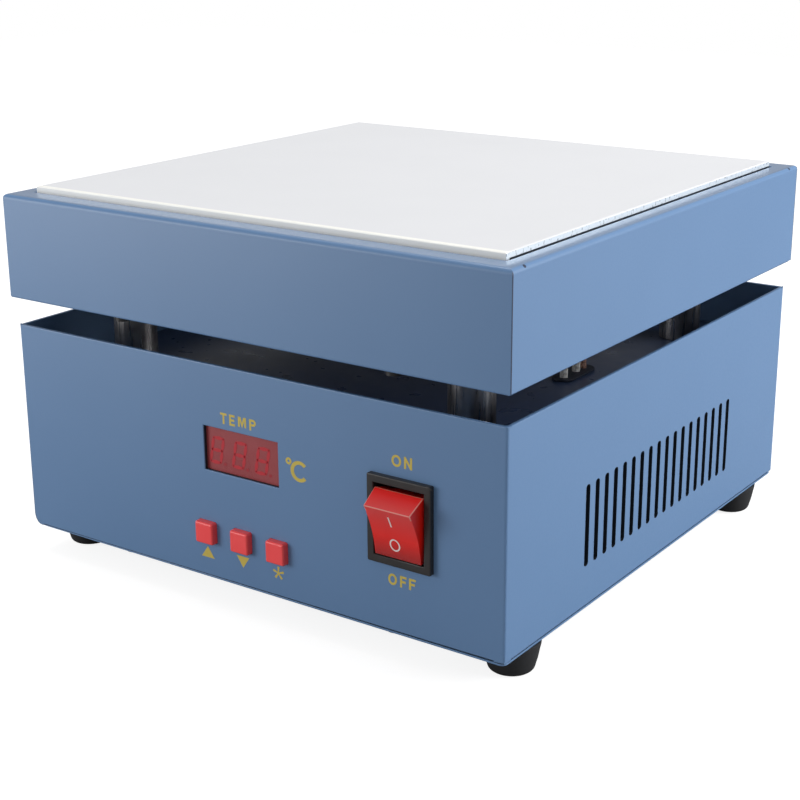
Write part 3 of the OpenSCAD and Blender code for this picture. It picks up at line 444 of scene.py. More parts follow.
@dataclass(frozen=True)
class PaintedGlowSegment(Finish):
    """Display segment behind a filter: the filter's gloss, and a dim painted glow, though the segment is unlit."""

    shade: str = "8E1A24"
    # Strength of the painted glow of the unlit segment
    glow: float = 0.12

    def surface(self, graph: Graph) -> Node:
        """Builds the segment with a grain that keeps its painted glow from being flat."""
        colour = graph.mixed(graph.grain(mm(1.5)), self.shade, self.hue)
        return graph.add("BsdfPrincipled",
                         {"Roughness": self.roughness, "Emission Strength": self.glow},
                         {"Base Color": colour, "Emission Color": colour})


@dataclass(frozen=True)
class SleeveGlass(Finish):
    """Thin drawn glass of a fuse, with a faint wave in its wall."""

    def surface(self, graph: Graph) -> Node:
        """Builds the clear wall."""
        return graph.add("BsdfPrincipled",
                         {"Base Color": linear(self.hue), "IOR": 1.5,
                          "Roughness": self.roughness, "Transmission Weight": 0.9},
                         {"Normal": graph.relief(graph.grain(mm(4), 1.0), mm(0.02))})


@dataclass(frozen=True)
class PaperSweep(Finish):
    """Matt white paper: it takes the shadow, and a glow lifts the rest of it to white."""

    lift: float = 0.85

    def surface(self, graph: Graph) -> Node:
        """Builds the paper, with its glow for the camera alone."""
        lift = graph.add("Math", {"operation": "MULTIPLY", 1: self.lift},
                         {0: graph.seen_directly()})
        base = graph.add("BsdfDiffuse", {"Color": linear(self.hue)})
        glow = graph.add("Emission", {"Color": linear("FFFFFF")}, {"Strength": lift})
        return graph.add("AddShader", links={0: base, 1: glow})


PLATE_LOW, PLATE_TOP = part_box("heating_plate")
HEAD_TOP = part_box("upper_case")[1]
# Width of the plate's round front edge, which also takes the whiter band with its painted highlight
FRONT_ROUND = mm(1.9)

# Powder coat, sprayed and baked: even blue with a soft sheen, and a near-black painted shade for inside cuts
ENAMEL = PowderCoat("blue_powder_coat")
HEAD_ENAMEL = PowderCoat("blue_powder_coat_with_seams", wiped=1.0,
                         seam_y=HEAD_TOP.y - mm(0.3),
                         relief_hole=HEAD_TOP - Vector((mm(0.4), mm(7.6), mm(0.3))))
# Near-black painted shade for the walls of the cuts and the hem's underside
PAINTED_SHADE = PowderCoat("painted_shade_in_cuts", "18222F", shade="101822", roughness=0.6)
# Coated and sawn aluminium: a matt white face, and bright torn metal on the side edges
PLATE = CoatedPlate("coated_aluminium_plate", side_x=PLATE_TOP.x,
                    front_y=PLATE_LOW.y + FRONT_ROUND, face_z=PLATE_TOP.z,
                    rim_z=HEAD_TOP.z + mm(0.25))
# Drawn steel tube: bright upright streaks. Rolled galvanised sheet: dull grey, lighter and bluer than the sheet as
# painted light in the dim gap
DRAWN = WorkedMetal("drawn_steel_tube", "CCCACA", 0.3, dull="8A8686", grain_size=mm(1.2),
                    blotch=mm(14))
PAN = WorkedMetal("galvanised_sheet_with_painted_light", "666E80", 0.5, dull="4A5060", streak=(1, 1, 1))
# Glossy dark enamel: it mirrors the pillars and the gap, so its grain is coarse and shallow
# Its blue grey is lighter than the dark enamel: painted light in the dim gap
DECK = Moulded("gloss_enamel_with_painted_light", "44567C", 0.3, shade="3C4C70", texture=mm(5),
               depth=mm(0.003))
# Moulded rubber and nylon: black with a low sheen, the rubber's grain coarse enough to show
RUBBER = Moulded("black_foot_rubber", "18191C", 0.62, shade="222326", texture=mm(0.6))
BLACK = Moulded("black_nylon", "2E2D2E", 0.42, shade="282728")
BEZEL = Moulded("charcoal_switch_nylon", "2B2929", 0.36, shade="262424")
BUSH = Moulded("dark_silicone_bush", "242C3C", 0.5)
# Red ABS, polycarbonate and filter film: opaque and silky, clear and wet, smooth and dull
CAP = Moulded("red_abs_cap", "FF5456", 0.34, shade="FA4C4E", depth=mm(0.006))
ROCKER = ClearRed("clear_red_polycarbonate")
# Pale red on the rounded edges of the rocker's raised end: a painted highlight
ROCKER_HIGHLIGHT = ClearRed("painted_highlight_on_clear_edge", "FF8070", lip="F49C92")
FILTER = Moulded("dull_red_filter", "A0464A", 0.3, shade="964044", texture=mm(1.5),
                 depth=mm(0.003))
# Unlit segments and points with a dim painted glow
SEGMENT = PaintedGlowSegment("dim_red_segment", "B82A34", 0.3, "A82630")
DARK_POINT = PaintedGlowSegment("dark_red_point", "982A32", 0.3, "90282F")
# Braided glass sleeve: matt off-white with the bands' shadows
SLEEVE = Braided("white_glass_braid", "FAF9F5", 0.7, shade="D8D5CD")
# Screen and pad printing ink: flat and matt, with ragged gloss
INK = Moulded("ochre_screen_ink", "D2BC52", 0.6, shade="C4AE4E", texture=mm(0.3))
WHITE_MARK = Moulded("white_pad_print", "F4E4E2", 0.5, shade="EAD6D4", texture=mm(0.3))

# The record's slots, with the finishes of what is hidden inside: milled, plated, oxidised or
# polished metal, pressed fibre, fired clay, solder mask, black oxide, vinyl and glass
SLOT_FINISH: dict[str, Finish] = {
    "blue_enamel": ENAMEL, "plate_face": PLATE, "pillar_steel": DRAWN, "deck_enamel": DECK,
    "foot_rubber": RUBBER, "white_sleeve": SLEEVE, "black_bush": BUSH, "display_red": FILTER,
    "black_plastic": BLACK, "button_red": CAP, "rocker_red": ROCKER,
    "clamp_metal": WorkedMetal("milled_aluminium", "B4B6BA", 0.35, dull="9A9CA0",
                               streak=(0.1, 1, 1)),
    "zinc_steel": WorkedMetal("zinc_plated_steel", "C9CBD0", 0.3, dull="A6A8AE",
                              streak=(1, 1, 1)),
    "element_sheath": WorkedMetal("oxidised_steel_sheath", "6E675C", 0.5, dull="4A443C"),
    "probe_steel": WorkedMetal("stainless_sheath", "C4C4C8", 0.25, dull="A8A8AC"),
    "tinned_brass": WorkedMetal("tinned_brass", "CFC8A4", 0.3, dull="B0A67C",
                                streak=(1, 1, 1)),
    "sink_black": WorkedMetal("black_anodised_aluminium", "2A2A2D", 0.4, dull="1E1E20"),
    "core_steel": WorkedMetal("stacked_core_sheets", "5C5C60", 0.5, dull="3C3C40",
                              streak=(0.05, 1, 1)),
    "insulation": Fibrous("ceramic_fibre_board", "DDD6C6", 0.9),
    "steatite": Fibrous("unglazed_steatite", "E4DFD2", 0.6, shade="D2CCBC", lump=mm(1.5)),
    "brown_sleeve": Braided("brown_glass_braid", "C49A8A", 0.75, shade="7C5A4C"),
    "circuit_board": Moulded("green_solder_mask", "1E5A38", 0.3, shade="17492D",
                             texture=mm(1.2)),
    "black_oxide": Moulded("blackened_steel", "1C1C1E", 0.45, texture=mm(0.3)),
    "wire_sleeve": Moulded("wire_sleeve_vinyl", "5A4638", 0.4),
    "fuse_glass": SleeveGlass("drawn_fuse_glass", "E8ECEE", 0.05),
}


# Modelling helpers

SHARP = math.radians(30)
SMOOTH = math.radians(35)


def only(piece: Piece) -> None:
    """Selects one piece, and nothing else, as the active one."""
    bpy.ops.object.select_all(action="DESELECT")
    piece.select_set(True)
    bpy.context.view_layer.objects.active = piece


def settle(piece: Piece) -> None:
    """Puts a piece's place, turn and scale in its mesh, with its object at the origin."""
    only(piece)
    bpy.ops.object.transform_apply(location=True, rotation=True, scale=True)


def add_piece(name: str, mesh: bpy.types.Mesh) -> Piece:
    """Adds a piece with a finished mesh to the scene."""
    piece = bpy.data.objects.new(name, mesh)
    bpy.context.scene.collection.objects.link(piece)
    return piece


def piece_from(name: str, shape: bmesh.types.BMesh) -> Piece:
    """Makes a piece from a shape, and frees the shape."""
    piece = add_piece(name, bpy.data.meshes.new(name))
    shape.to_mesh(piece.data)
    shape.free()
    return piece


def apply_modifier(piece: Piece, kind: str, **settings: object) -> None:
    """Adds a modifier with its settings and applies it.

    Args:
        piece: The piece that it acts on.
        kind: The modifier's type in Blender.
        **settings: The modifier's properties.
    """
    only(piece)
    added = piece.modifiers.new(kind.lower(), kind)
    for name, value in settings.items():
        setattr(added, name, value)
    bpy.ops.object.modifier_apply(modifier=added.name)


def round_edges(piece: Piece, width: float, segments: int = 2,
                share: Callable[[Vector], float] = lambda middle: 1.0,
                material: int = -1) -> None:
    """Rounds the sharp edges of a piece, and shades the result smoothly.

    Args:
        piece: The piece.
        width: Width of the rounding in metres.
        segments: Number of faces across it.
        share: Gives the share of the width that an edge gets, from the edge's middle.
        material: The material slot that the new faces take, or -1 for their neighbours'.
    """
    shape = bmesh.new()
    shape.from_mesh(piece.data)
    weight = shape.edges.layers.float.new("bevel_weight_edge")
    for edge in shape.edges:
        if len(edge.link_faces) == 2 and edge.calc_face_angle() > SHARP:
            edge[weight] = float(share((edge.verts[0].co + edge.verts[1].co) / 2))
    shape.to_mesh(piece.data)
    shape.free()
    apply_modifier(piece, "BEVEL", width=width, segments=segments, limit_method="WEIGHT",
                   use_clamp_overlap=False, material=material)
    only(piece)
    bpy.ops.object.shade_smooth_by_angle(angle=SMOOTH)
    apply_modifier(piece, "WEIGHTED_NORMAL", keep_sharp=True, weight=100)


def copy_of(node: str, name: str, flatten: bool = True) -> Piece:
    """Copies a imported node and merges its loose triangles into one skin.

    Args:
        node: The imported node.
        name: The new piece's name.
        flatten: Whether flat regions become single faces.

    Returns:
        The new piece.
    """
    piece = add_piece(name, frame["nodes"][node].data.copy())
    piece.data.materials.clear()
    only(piece)
    bpy.ops.mesh.customdata_custom_splitnormals_clear()
    bpy.ops.object.mode_set(mode="EDIT")
    bpy.ops.mesh.select_all(action="SELECT")
    bpy.ops.mesh.remove_doubles(threshold=mm(0.002))
    if flatten:
        bpy.ops.mesh.dissolve_limited(angle_limit=math.radians(0.4))
    bpy.ops.object.mode_set(mode="OBJECT")
    return piece


def reshape(piece: Piece, move: Callable[[Vector], Vector]) -> None:
    """Moves every point of a piece to where a function says."""
    for vertex in piece.data.vertices:
        vertex.co = move(vertex.co)


def tighten(at: Vector, corner: Vector, edges: tuple[tuple[int, int], ...], radius: float,
            share: float) -> Vector:
    """Moves a point on the outer roundings of a corner's edges to smaller roundings.

    Args:
        at: The point.
        corner: The corner, where the outer faces would meet.
        edges: The two directions across each edge, as 0 for X to 2 for Z.
        radius: The roundings' present radius.
        share: The new radius as a share of it.

    Returns:
        The point's new place, which is the old one off the roundings.
    """
    depths = [abs(at[axis] - corner[axis]) for axis in range(3)]
    new = at.copy()
    for edge in edges:
        away = math.hypot(*(radius - depths[axis] for axis in edge))
        if (max(depths[axis] for axis in edge) < radius + END_NEAR
                and abs(away - radius) < CURVE_NEAR):
            for axis in edge:
                new[axis] = corner[axis] + (at[axis] - corner[axis]) * share
    return new


def ribbon(points: list[Pair], widths: list[float], closed: bool = False,
           name: str = "stroke") -> Piece:
    """Makes a flat stroke along a line of points in the XY plane.

    Args:
        points: The stroke's middle line.
        widths: Its width at each point.
        closed: Whether the last point joins the first.
        name: The new piece's name.

    Returns:
        The stroke, facing up.
    """
    shape = bmesh.new()
    count = len(points)
    pairs = []
    for i, point in enumerate(points):
        before = Vector(points[i - 1]) if closed or i else None
        after = Vector(points[(i + 1) % count]) if closed or i + 1 < count else None
        here = Vector(point)
        come = (here - before).normalized() if before else (after - here).normalized()
        go = (after - here).normalized() if after else come
        across = Vector((-come.y - go.y, come.x + go.x)).normalized()
        reach = widths[i] / 2 / max(0.4, across.dot(Vector((-come.y, come.x))))
        pairs.append([shape.verts.new((*(here + across * s * reach), 0)) for s in (1, -1)])
    for i in range(count if closed else count - 1):
        (a, b), (c, d) = pairs[i], pairs[(i + 1) % count]
        shape.faces.new((b, d, c, a))
    return piece_from(name, shape)


def arc(x: float, y: float, rx: float, ry: float, start: float, end: float,
        steps: int) -> list[Pair]:
    """Gives steps + 1 points on an oval of half sizes rx and ry, between angles in degrees."""
    turns = [math.radians(start + (end - start) * i / steps) for i in range(steps + 1)]
    return [(x + rx * math.cos(t), y + ry * math.sin(t)) for t in turns]


def coat(piece: Piece, *finishes: Finish) -> None:
    """Gives a piece one material slot for each finish; all its faces start on the first."""
    piece.data.materials.clear()
    for finish in finishes:
        piece.data.materials.append(finish.material())


def dress(piece: Piece, finish: Optional[Finish], body: str = "base",
          stands_for: tuple[str, ...] = ()) -> None:
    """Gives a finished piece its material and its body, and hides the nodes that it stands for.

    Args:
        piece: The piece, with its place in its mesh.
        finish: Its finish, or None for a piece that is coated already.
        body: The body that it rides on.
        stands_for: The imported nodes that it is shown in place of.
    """
    if finish:
        coat(piece, finish)
    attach(piece, body)
    if stands_for:
        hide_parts(*stands_for)
    log.info("%s on %s, %d faces", piece.name, body, len(piece.data.polygons))


def soften(node: str, finish: Finish, slot: str, edge: float, body: str = "base",
           name: str = "", **rounding: object) -> None:
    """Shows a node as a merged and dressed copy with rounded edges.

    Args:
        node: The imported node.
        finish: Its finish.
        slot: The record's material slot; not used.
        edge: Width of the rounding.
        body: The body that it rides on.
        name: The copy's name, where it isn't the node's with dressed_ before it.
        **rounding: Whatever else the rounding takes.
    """
    piece = copy_of(node, name or f"dressed_{node}", flatten=False)
    round_edges(piece, edge, **rounding)
    dress(piece, finish, body, (node,))


def join(pieces: list[Piece], name: str) -> Piece:
    """Joins pieces into the first of them, which takes the name."""
    only(pieces[0])
    for piece in pieces:
        piece.select_set(True)
    bpy.ops.object.join()
    pieces[0].name = name
    return pieces[0]


# Sub-assemblies


@dataclass
class Enclosure:
    """The two folded steel cases and the bottom sheet.

    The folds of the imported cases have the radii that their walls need, and the ones here are
    as tight as on the real sheets. The bottom sheet's edge comes out nearly to the walls.
    """

    rim_edge: float = mm(0.45)
    window_edge: float = mm(0.35)
    window_room: float = mm(3)
    lid_edge: float = mm(0.25)
    corner: float = mm(2.5)
    corner_share: float = 0.4
    hem: float = mm(2.0)
    hem_share: float = 0.3
    head_fold: float = mm(1.8)
    head_fold_share: float = 0.4
    toe: float = mm(4.0)
    toe_share: float = 0.1
    toe_side: float = mm(0.6)
    wall: float = mm(2)
    vent_pitch: float = mm(6.54)
    vent_y: float = mm(0.9)
    vent_width: float = mm(2.3)
    vent_grow: float = mm(0.55)
    vent_row: float = 9.5
    round_toe_high: float = mm(3.6)
    round_toe_deep: float = mm(7.0)
    sheet_thick: float = mm(1.0)
    sheet_gap: float = mm(0.3)
    sheet_corner: float = mm(4.0)
    sheet_grow: float = mm(0.6)
    sheet_edge: float = mm(0.15)
    wide_corner: float = 1.6
    tight_corner: float = 0.5

    def __post_init__(self) -> None:
        """Takes the corners of the lower case, the bottom sheet and the display window."""
        self.low, self.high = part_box("lower_case")
        self.sheet_low, self.sheet_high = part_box("bottom_plate")
        low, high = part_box("display_module")
        room = Vector((self.window_room, 0, self.window_room))
        self.window_low, self.window_high = low - room, high + room

    def build(self) -> None:
        """Dresses the lower case, the bottom sheet and the head."""
        self.lower_case()
        self.bottom_sheet()
        self.head()

    def lower_case(self) -> None:
        """Reshapes the case's corners, rounds its rim, and paints shade on what is cut and hidden."""
        piece = copy_of("lower_case", "enamelled_case")
        coat(piece, ENAMEL, PAINTED_SHADE)
        reshape(piece, self.close_toe)
        for corner in self.corners(self.low, self.high):
            for edge, radius, share in (((0, 1), self.corner, self.corner_share),
                                        ((0, 2), self.hem, self.hem_share),
                                        ((1, 2), self.hem, self.hem_share)):
                reshape(piece, lambda at: tighten(at, corner, (edge,), radius, share))
        reshape(piece, self.widen_vent)
        self.cut_levels(piece)
        reshape(piece, self.round_toe)
        apply_modifier(piece, "TRIANGULATE", min_vertices=4, ngon_method="BEAUTY")
        self.paint_shade(piece)
        round_edges(piece, self.rim_edge, 2, lambda at: max(
            at.z > self.high.z - FACE_NEAR,
            self.window_edge / self.rim_edge * (
                at.y < self.low.y + FACE_NEAR and self.in_window(at))), 0)
        dress(piece, None, stands_for=("lower_case",))

    def corners(self, low: Vector, high: Vector) -> list[Vector]:
        """Gives the four lower corners of a box."""
        return [Vector((x, y, low.z)) for x in (low.x, high.x) for y in (low.y, high.y)]

    def in_window(self, at: Vector) -> bool:
        """Tells whether a point of the front wall is within the display window's outline."""
        return (self.window_low.x < at.x < self.window_high.x
                and self.window_low.z < at.z < self.window_high.z)

    def close_toe(self, at: Vector) -> Vector:
        """Draws the cut-back corner of the walls down to the rest of their lower edge.

        Args:
            at: A point of the case.

        Returns:
            The point's new place.
        """
        deep = [abs(self.low[axis]) - abs(at[axis]) for axis in (0, 1)]
        height = at.z - self.low.z
        wide, near = max(deep), min(deep)
        on_fold = (wide > self.toe - END_NEAR and near < END_NEAR
                   and height < self.hem + END_NEAR)
        in_cut = self.hem - END_NEAR < height < self.toe + END_NEAR
        if wide > self.toe + END_NEAR or not in_cut or on_fold:
            return at
        if near < self.toe_side and wide > self.corner:
            deep[deep.index(near)] *= self.toe_share
        height = (height - self.hem) * self.toe / (self.toe - self.hem)
        x, y = (math.copysign(abs(self.low[i]) - deep[i], at[i]) for i in (0, 1))
        return Vector((x, y, self.low.z + height))

    def widen_vent(self, at: Vector) -> Vector:
        """Widens the side slots towards the rear to the width that they show on the object.

        Args:
            at: A point of the case.

        Returns:
            The point's new place.
        """
        along = (at.y - self.vent_y) / self.vent_pitch
        off = (along - 0.5 - math.floor(along)) * self.vent_pitch
        if (abs(at.x) < self.high.x - self.wall or abs(at.y) > self.vent_pitch * self.vent_row
                or abs(off) > self.vent_width / 2 + mm(0.02)
                or not self.low.z + mm(8) < at.z < self.high.z - mm(8)):
            return at
        return at + Vector((0, (off / self.vent_width + 0.5) * self.vent_grow, 0))

    def cut_levels(self, piece: Piece) -> None:
        """Cuts the walls at a few levels, which gives the round front left corner its points.

        Args:
            piece: The case.
        """
        shape = bmesh.new()
        shape.from_mesh(piece.data)
        cuts = [(Vector((0, self.round_toe_deep, 0)), (0, 1, 0))]
        cuts += [(Vector((0, 0, self.round_toe_high * (1 - math.cos(math.pi * i / 16)))),
                  (0, 0, 1)) for i in range(1, 9)]
        for step, across in cuts:
            bmesh.ops.bisect_plane(shape, geom=[*shape.verts, *shape.edges, *shape.faces],
                                   dist=mm(0.005), plane_co=self.low + step, plane_no=across)
        shape.to_mesh(piece.data)
        shape.free()

    def round_toe(self, at: Vector) -> Vector:
        """Rounds the foot of the front left corner, as it is on the real sheet.

        Args:
            at: A point of the case.

        Returns:
            The point's new place.
        """
        high, deep = self.round_toe_high, self.round_toe_deep
        x, y, z = at - self.low
        if x > deep or y > deep or z > high:
            return at
        curve = high - math.sqrt(max(0.0, high ** 2 - (high - z) ** 2))
        sink = self.sheet_thick * (1 - x / (2 * deep)) * (1 - z / high)
        return at + Vector((curve * (1 - x / deep), 0, -sink)) * (1 - y / deep)

    def paint_shade(self, piece: Piece) -> None:
        """Paints shade on the cut walls of vents and window and on the hem's underside, as the near-black finish.

        Args:
            piece: The case.
        """
        low, high = self.low, self.high
        for face in piece.data.polygons:
            at, facing = face.center, face.normal
            in_slot = (abs(abs(at.x) - high.x) < self.wall and abs(at.y) < high.y - mm(20)
                       and abs(facing.x) < 0.5 and low.z + mm(10) < at.z < high.z - mm(10))
            in_cut = at.y < low.y + self.wall and abs(facing.y) < 0.5 and self.in_window(at)
            under = at.z < low.z + mm(1) and facing.z < -0.3
            # Faces in the slots, in the window's cut and under the hem take the painted shade
            face.material_index = int(in_slot or in_cut or under)

    def bottom_sheet(self) -> None:
        """Brings the sheet's edge out to the walls, with its corners as the real ones are."""
        piece = copy_of("bottom_plate", "enamelled_bottom")
        reshape(piece, self.fit_sheet)
        apply_modifier(piece, "TRIANGULATE", min_vertices=4, ngon_method="BEAUTY")
        round_edges(piece, self.sheet_edge)
        dress(piece, ENAMEL, stands_for=("bottom_plate",))

    def fit_sheet(self, at: Vector) -> Vector:
        """Makes all corners of the sheet but one tight, moves its edge out and lowers its top.

        Args:
            at: A point of the sheet.

        Returns:
            The point's new place.
        """
        high = self.sheet_high
        share = self.wide_corner if at.x < 0 and at.y < 0 else self.tight_corner
        edge = [high[i] - abs(at[i]) for i in (0, 1)]
        outer = [deep < self.sheet_corner + END_NEAR for deep in edge]
        new = at.copy()
        for i in (0, 1):
            deep = edge[i] * (share if all(outer) else 1) - self.sheet_grow * outer[i]
            new[i] = math.copysign(high[i] - deep, at[i])
        new.z -= self.sheet_gap * (at.z > self.sheet_low.z + self.sheet_thick / 2)
        return new

    def head(self) -> None:
        """Tightens the head's lower folds, and rounds its opening and its upright corners."""
        low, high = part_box("upper_case")
        piece = copy_of("upper_case", "enamelled_head", flatten=False)
        for corner in self.corners(low, high):
            reshape(piece, lambda at: tighten(at, corner, ((0, 2), (1, 2)), self.head_fold,
                                              self.head_fold_share))
        round_edges(piece, self.lid_edge, 2, lambda at: at.z > high.z - FACE_NEAR or (
            abs(at.x) > high.x - FACE_NEAR and abs(at.y) > high.y - FACE_NEAR))
        dress(piece, HEAD_ENAMEL, stands_for=("upper_case",))


@dataclass
class HeatingPlate:
    """The working plate: its front edge is round, and the burr of the saw cuts is broken."""

    front_edge: float = FRONT_ROUND
    edge: float = mm(0.3)

    def build(self) -> None:
        """Dresses the plate."""
        soften("heating_plate", PLATE, "plate_face", self.front_edge, name="working_plate",
               segments=4, share=lambda at: (at.z > PLATE_TOP.z - FACE_NEAR) * (
                   1.0 if at.y < PLATE_LOW.y + FACE_NEAR else self.edge / self.front_edge))


@dataclass
class Buttons:
    """The three moulded caps in the panel."""

    side: float = mm(8.2)
    edge: float = mm(0.8)
    draft: float = 0.98
    proud: float = mm(0.4)

    def build(self) -> None:
        """Models a cap for each button: a block drawn in towards its face, with round edges."""
        for key in ("up", "down", "set"):
            low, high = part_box(f"{key}_button")
            low.y -= self.proud
            middle = (low + high) / 2
            bpy.ops.mesh.primitive_cube_add(size=1, location=middle)
            piece = bpy.context.object
            piece.name = f"{key}_cap"
            piece.scale = (self.side, high.y - low.y, self.side)
            settle(piece)
            for vertex in piece.data.vertices:
                if vertex.co.y < middle.y:
                    for i in (0, 2):
                        vertex.co[i] = middle[i] + (vertex.co[i] - middle[i]) * self.draft
            round_edges(piece, self.edge, 5)
            dress(piece, CAP, f"{key}_button_body", (f"{key}_button",))


@dataclass
class PowerSwitch:
    """The panel switch: its bezel and housing, the rocker and the two marks on its face."""

    bezel_edge: float = mm(0.4)
    rocker_edge: float = mm(0.3)
    end_high: float = mm(6)
    end_deep: float = mm(7.5)
    stroke: float = mm(0.55)
    on_length: float = mm(4.2)
    on_place: Pair = (mm(-0.45), mm(5.85))
    off_size: Pair = (mm(4.1), mm(4.8))
    off_place: Pair = (mm(-0.6), mm(-3.75))
    mark_lift: float = mm(0.03)

    def build(self) -> None:
        """Builds the housing, and the rocker with an upright bar and a ring on its face."""
        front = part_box("switch_housing")[0].y
        soften("switch_housing", BEZEL, "black_plastic", self.bezel_edge,
               name="switch_bezel", segments=3, share=lambda at: at.y < front + FACE_NEAR)
        rocker = copy_of("rocker", "rocker_cap")
        coat(rocker, ROCKER, ROCKER_HIGHLIGHT)
        # The rounded edges round the raised end take the painted highlight
        round_edges(rocker, self.rocker_edge, 2, self.on_end, 1)
        round_edges(rocker, self.rocker_edge, 2, lambda at: not self.on_end(at))
        dress(rocker, None, "rocker_body", ("rocker",))
        bar = [(0, self.on_length * (i / 8 - 0.5)) for i in range(9)]
        ring = arc(0, 0, *((side - self.stroke) / 2 for side in self.off_size), 0, 350, 35)
        self.lay(bar, False, "mark_on", rocker, self.on_place)
        self.lay(ring, True, "mark_off", rocker, self.off_place)

    def on_end(self, at: Vector) -> bool:
        """Tells whether an edge lies round the rocker's raised end, which takes the painted highlight."""
        low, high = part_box("rocker")
        return at.z > high.z - self.end_high and at.y < low.y + self.end_deep

    def lay(self, points: list[Pair], closed: bool, name: str, rocker: Piece,
            place: Pair) -> None:
        """Lays a flat mark on the tilted rocker's hollow face.

        Args:
            points: The mark's line.
            closed: Whether the last point joins the first.
            name: The mark's name.
            rocker: The rocker's piece.
            place: The mark's middle, right of and above the pivot along the rocker's face.
        """
        hinge = next(j for j in frame["joints"] if j["name"] == "rocker_tilt")
        pivot = Vector(hinge["pos_m"])
        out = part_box("rocker")[0].y - pivot.y
        mark = ribbon(points, [self.stroke] * len(points), closed, name)
        mark.data.transform(
            Matrix.Translation(pivot)
            @ Matrix.Rotation(math.radians(hinge["range_deg"][1] / 2), 4, "X")
            @ Matrix.Translation((place[0], out, place[1]))
            @ Matrix.Rotation(math.pi / 2, 4, "X"))
        apply_modifier(mark, "SHRINKWRAP", target=rocker, offset=self.mark_lift,
                       wrap_method="PROJECT", use_project_x=False, use_project_y=True,
                       use_project_z=False, use_positive_direction=True,
                       use_negative_direction=True, wrap_mode="OUTSIDE_SURFACE")
        dress(mark, WHITE_MARK, "rocker_body")


@dataclass
class Display:
    """The three-digit display: its filter behind the cut-out and the unlit segments."""

    pitch: float = mm(10.13)
    middle_x: float = mm(-1.65)
    bottom: float = mm(43.3)
    height: float = mm(10.5)
    width: float = mm(6.0)
    bar: float = mm(1.45)
    gap: float = mm(0.2)
    slant: float = math.radians(10.5)
    dot: float = mm(1.3)
    lift: float = mm(0.03)
    thickness: float = mm(0.04)
    forward: float = mm(0.45)
    edge: float = mm(0.2)

    def build(self) -> None:
        """Builds the filter, close behind the panel, and the three digits with their points."""
        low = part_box("display_module")[0]
        panel = copy_of("display_module", "display_filter")
        reshape(panel, lambda at: at - Vector(
            (0, self.forward * (at.y < low.y + FACE_NEAR), 0)))
        round_edges(panel, self.edge)
        dress(panel, FILTER, stands_for=("display_module",))
        for i in (-1, 0, 1):
            self.digit(i)

    def digit(self, i: int) -> None:
        """Models one digit as seven bars and a point, leaning to the right.

        Args:
            i: The digit's place, -1, 0 or 1.
        """
        half_w = (self.width - self.bar) / 2
        half_h = (self.height - self.bar) / 2
        bars = [self.segment(0, s * half_h, False, 2 * half_w) for s in (-1, 0, 1)]
        bars += [self.segment(sx * half_w, sz * half_h / 2, True, half_h)
                 for sx in (-1, 1) for sz in (-1, 1)]
        bpy.ops.mesh.primitive_circle_add(
            vertices=24, radius=self.dot / 2, fill_type="NGON",
            location=(self.width / 2 + self.dot, self.dot / 2 - self.height / 2, 0))
        settle(bpy.context.object)
        self.stand(bpy.context.object, i, f"point_{i + 2}", DARK_POINT)
        self.stand(join(bars, f"digit_{i + 2}"), i, f"digit_{i + 2}", SEGMENT)

    def stand(self, piece: Piece, i: int, name: str, finish: Finish) -> None:
        """Leans a flat figure to the right and stands it on the filter.

        Args:
            piece: The figure, flat round the digit's middle.
            i: The digit's place, -1, 0 or 1.
            name: The piece's name.
            finish: Its finish.
        """
        piece.name = name
        lean = Matrix.Identity(4)
        lean[0][1] = math.tan(self.slant)
        piece.data.transform(lean)
        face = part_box("display_module")[0].y - self.forward - self.lift
        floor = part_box("bottom_plate")[0].z
        place = Matrix.Translation((self.middle_x + i * self.pitch, face,
                                    floor + self.bottom + self.height / 2))
        piece.data.transform(place @ Matrix.Rotation(math.pi / 2, 4, "X"))
        apply_modifier(piece, "SOLIDIFY", thickness=self.thickness, offset=0)
        dress(piece, finish)

    def segment(self, x: float, z: float, upright: bool, length: float) -> Piece:
        """Models one bar with pointed ends, flat in the XY plane.

        Args:
            x: The bar's middle, right of the digit's.
            z: The bar's middle above the digit's.
            upright: Whether the bar stands.
            length: Distance between the corners that it runs to.

        Returns:
            The bar.
        """
        bpy.ops.mesh.primitive_circle_add(vertices=6, radius=self.bar / 2, fill_type="NGON")
        piece = bpy.context.object
        stretch = (length - self.bar) / 2 - self.gap + self.bar / 4
        for vertex in piece.data.vertices:
            if abs(vertex.co.x) > END_NEAR:
                vertex.co.x += math.copysign(stretch, vertex.co.x)
        piece.data.transform(Matrix.Rotation(math.pi / 2 if upright else 0, 4, "Z"))
        piece.data.transform(Matrix.Translation((x, z, 0)))
        return piece


class Shape(Enum):
    """What a printed legend shows: a letter, a ring, an arrow head or a star."""

    T, E, M, P, O, N, F, C, RING, UP, DOWN, STAR = range(12)


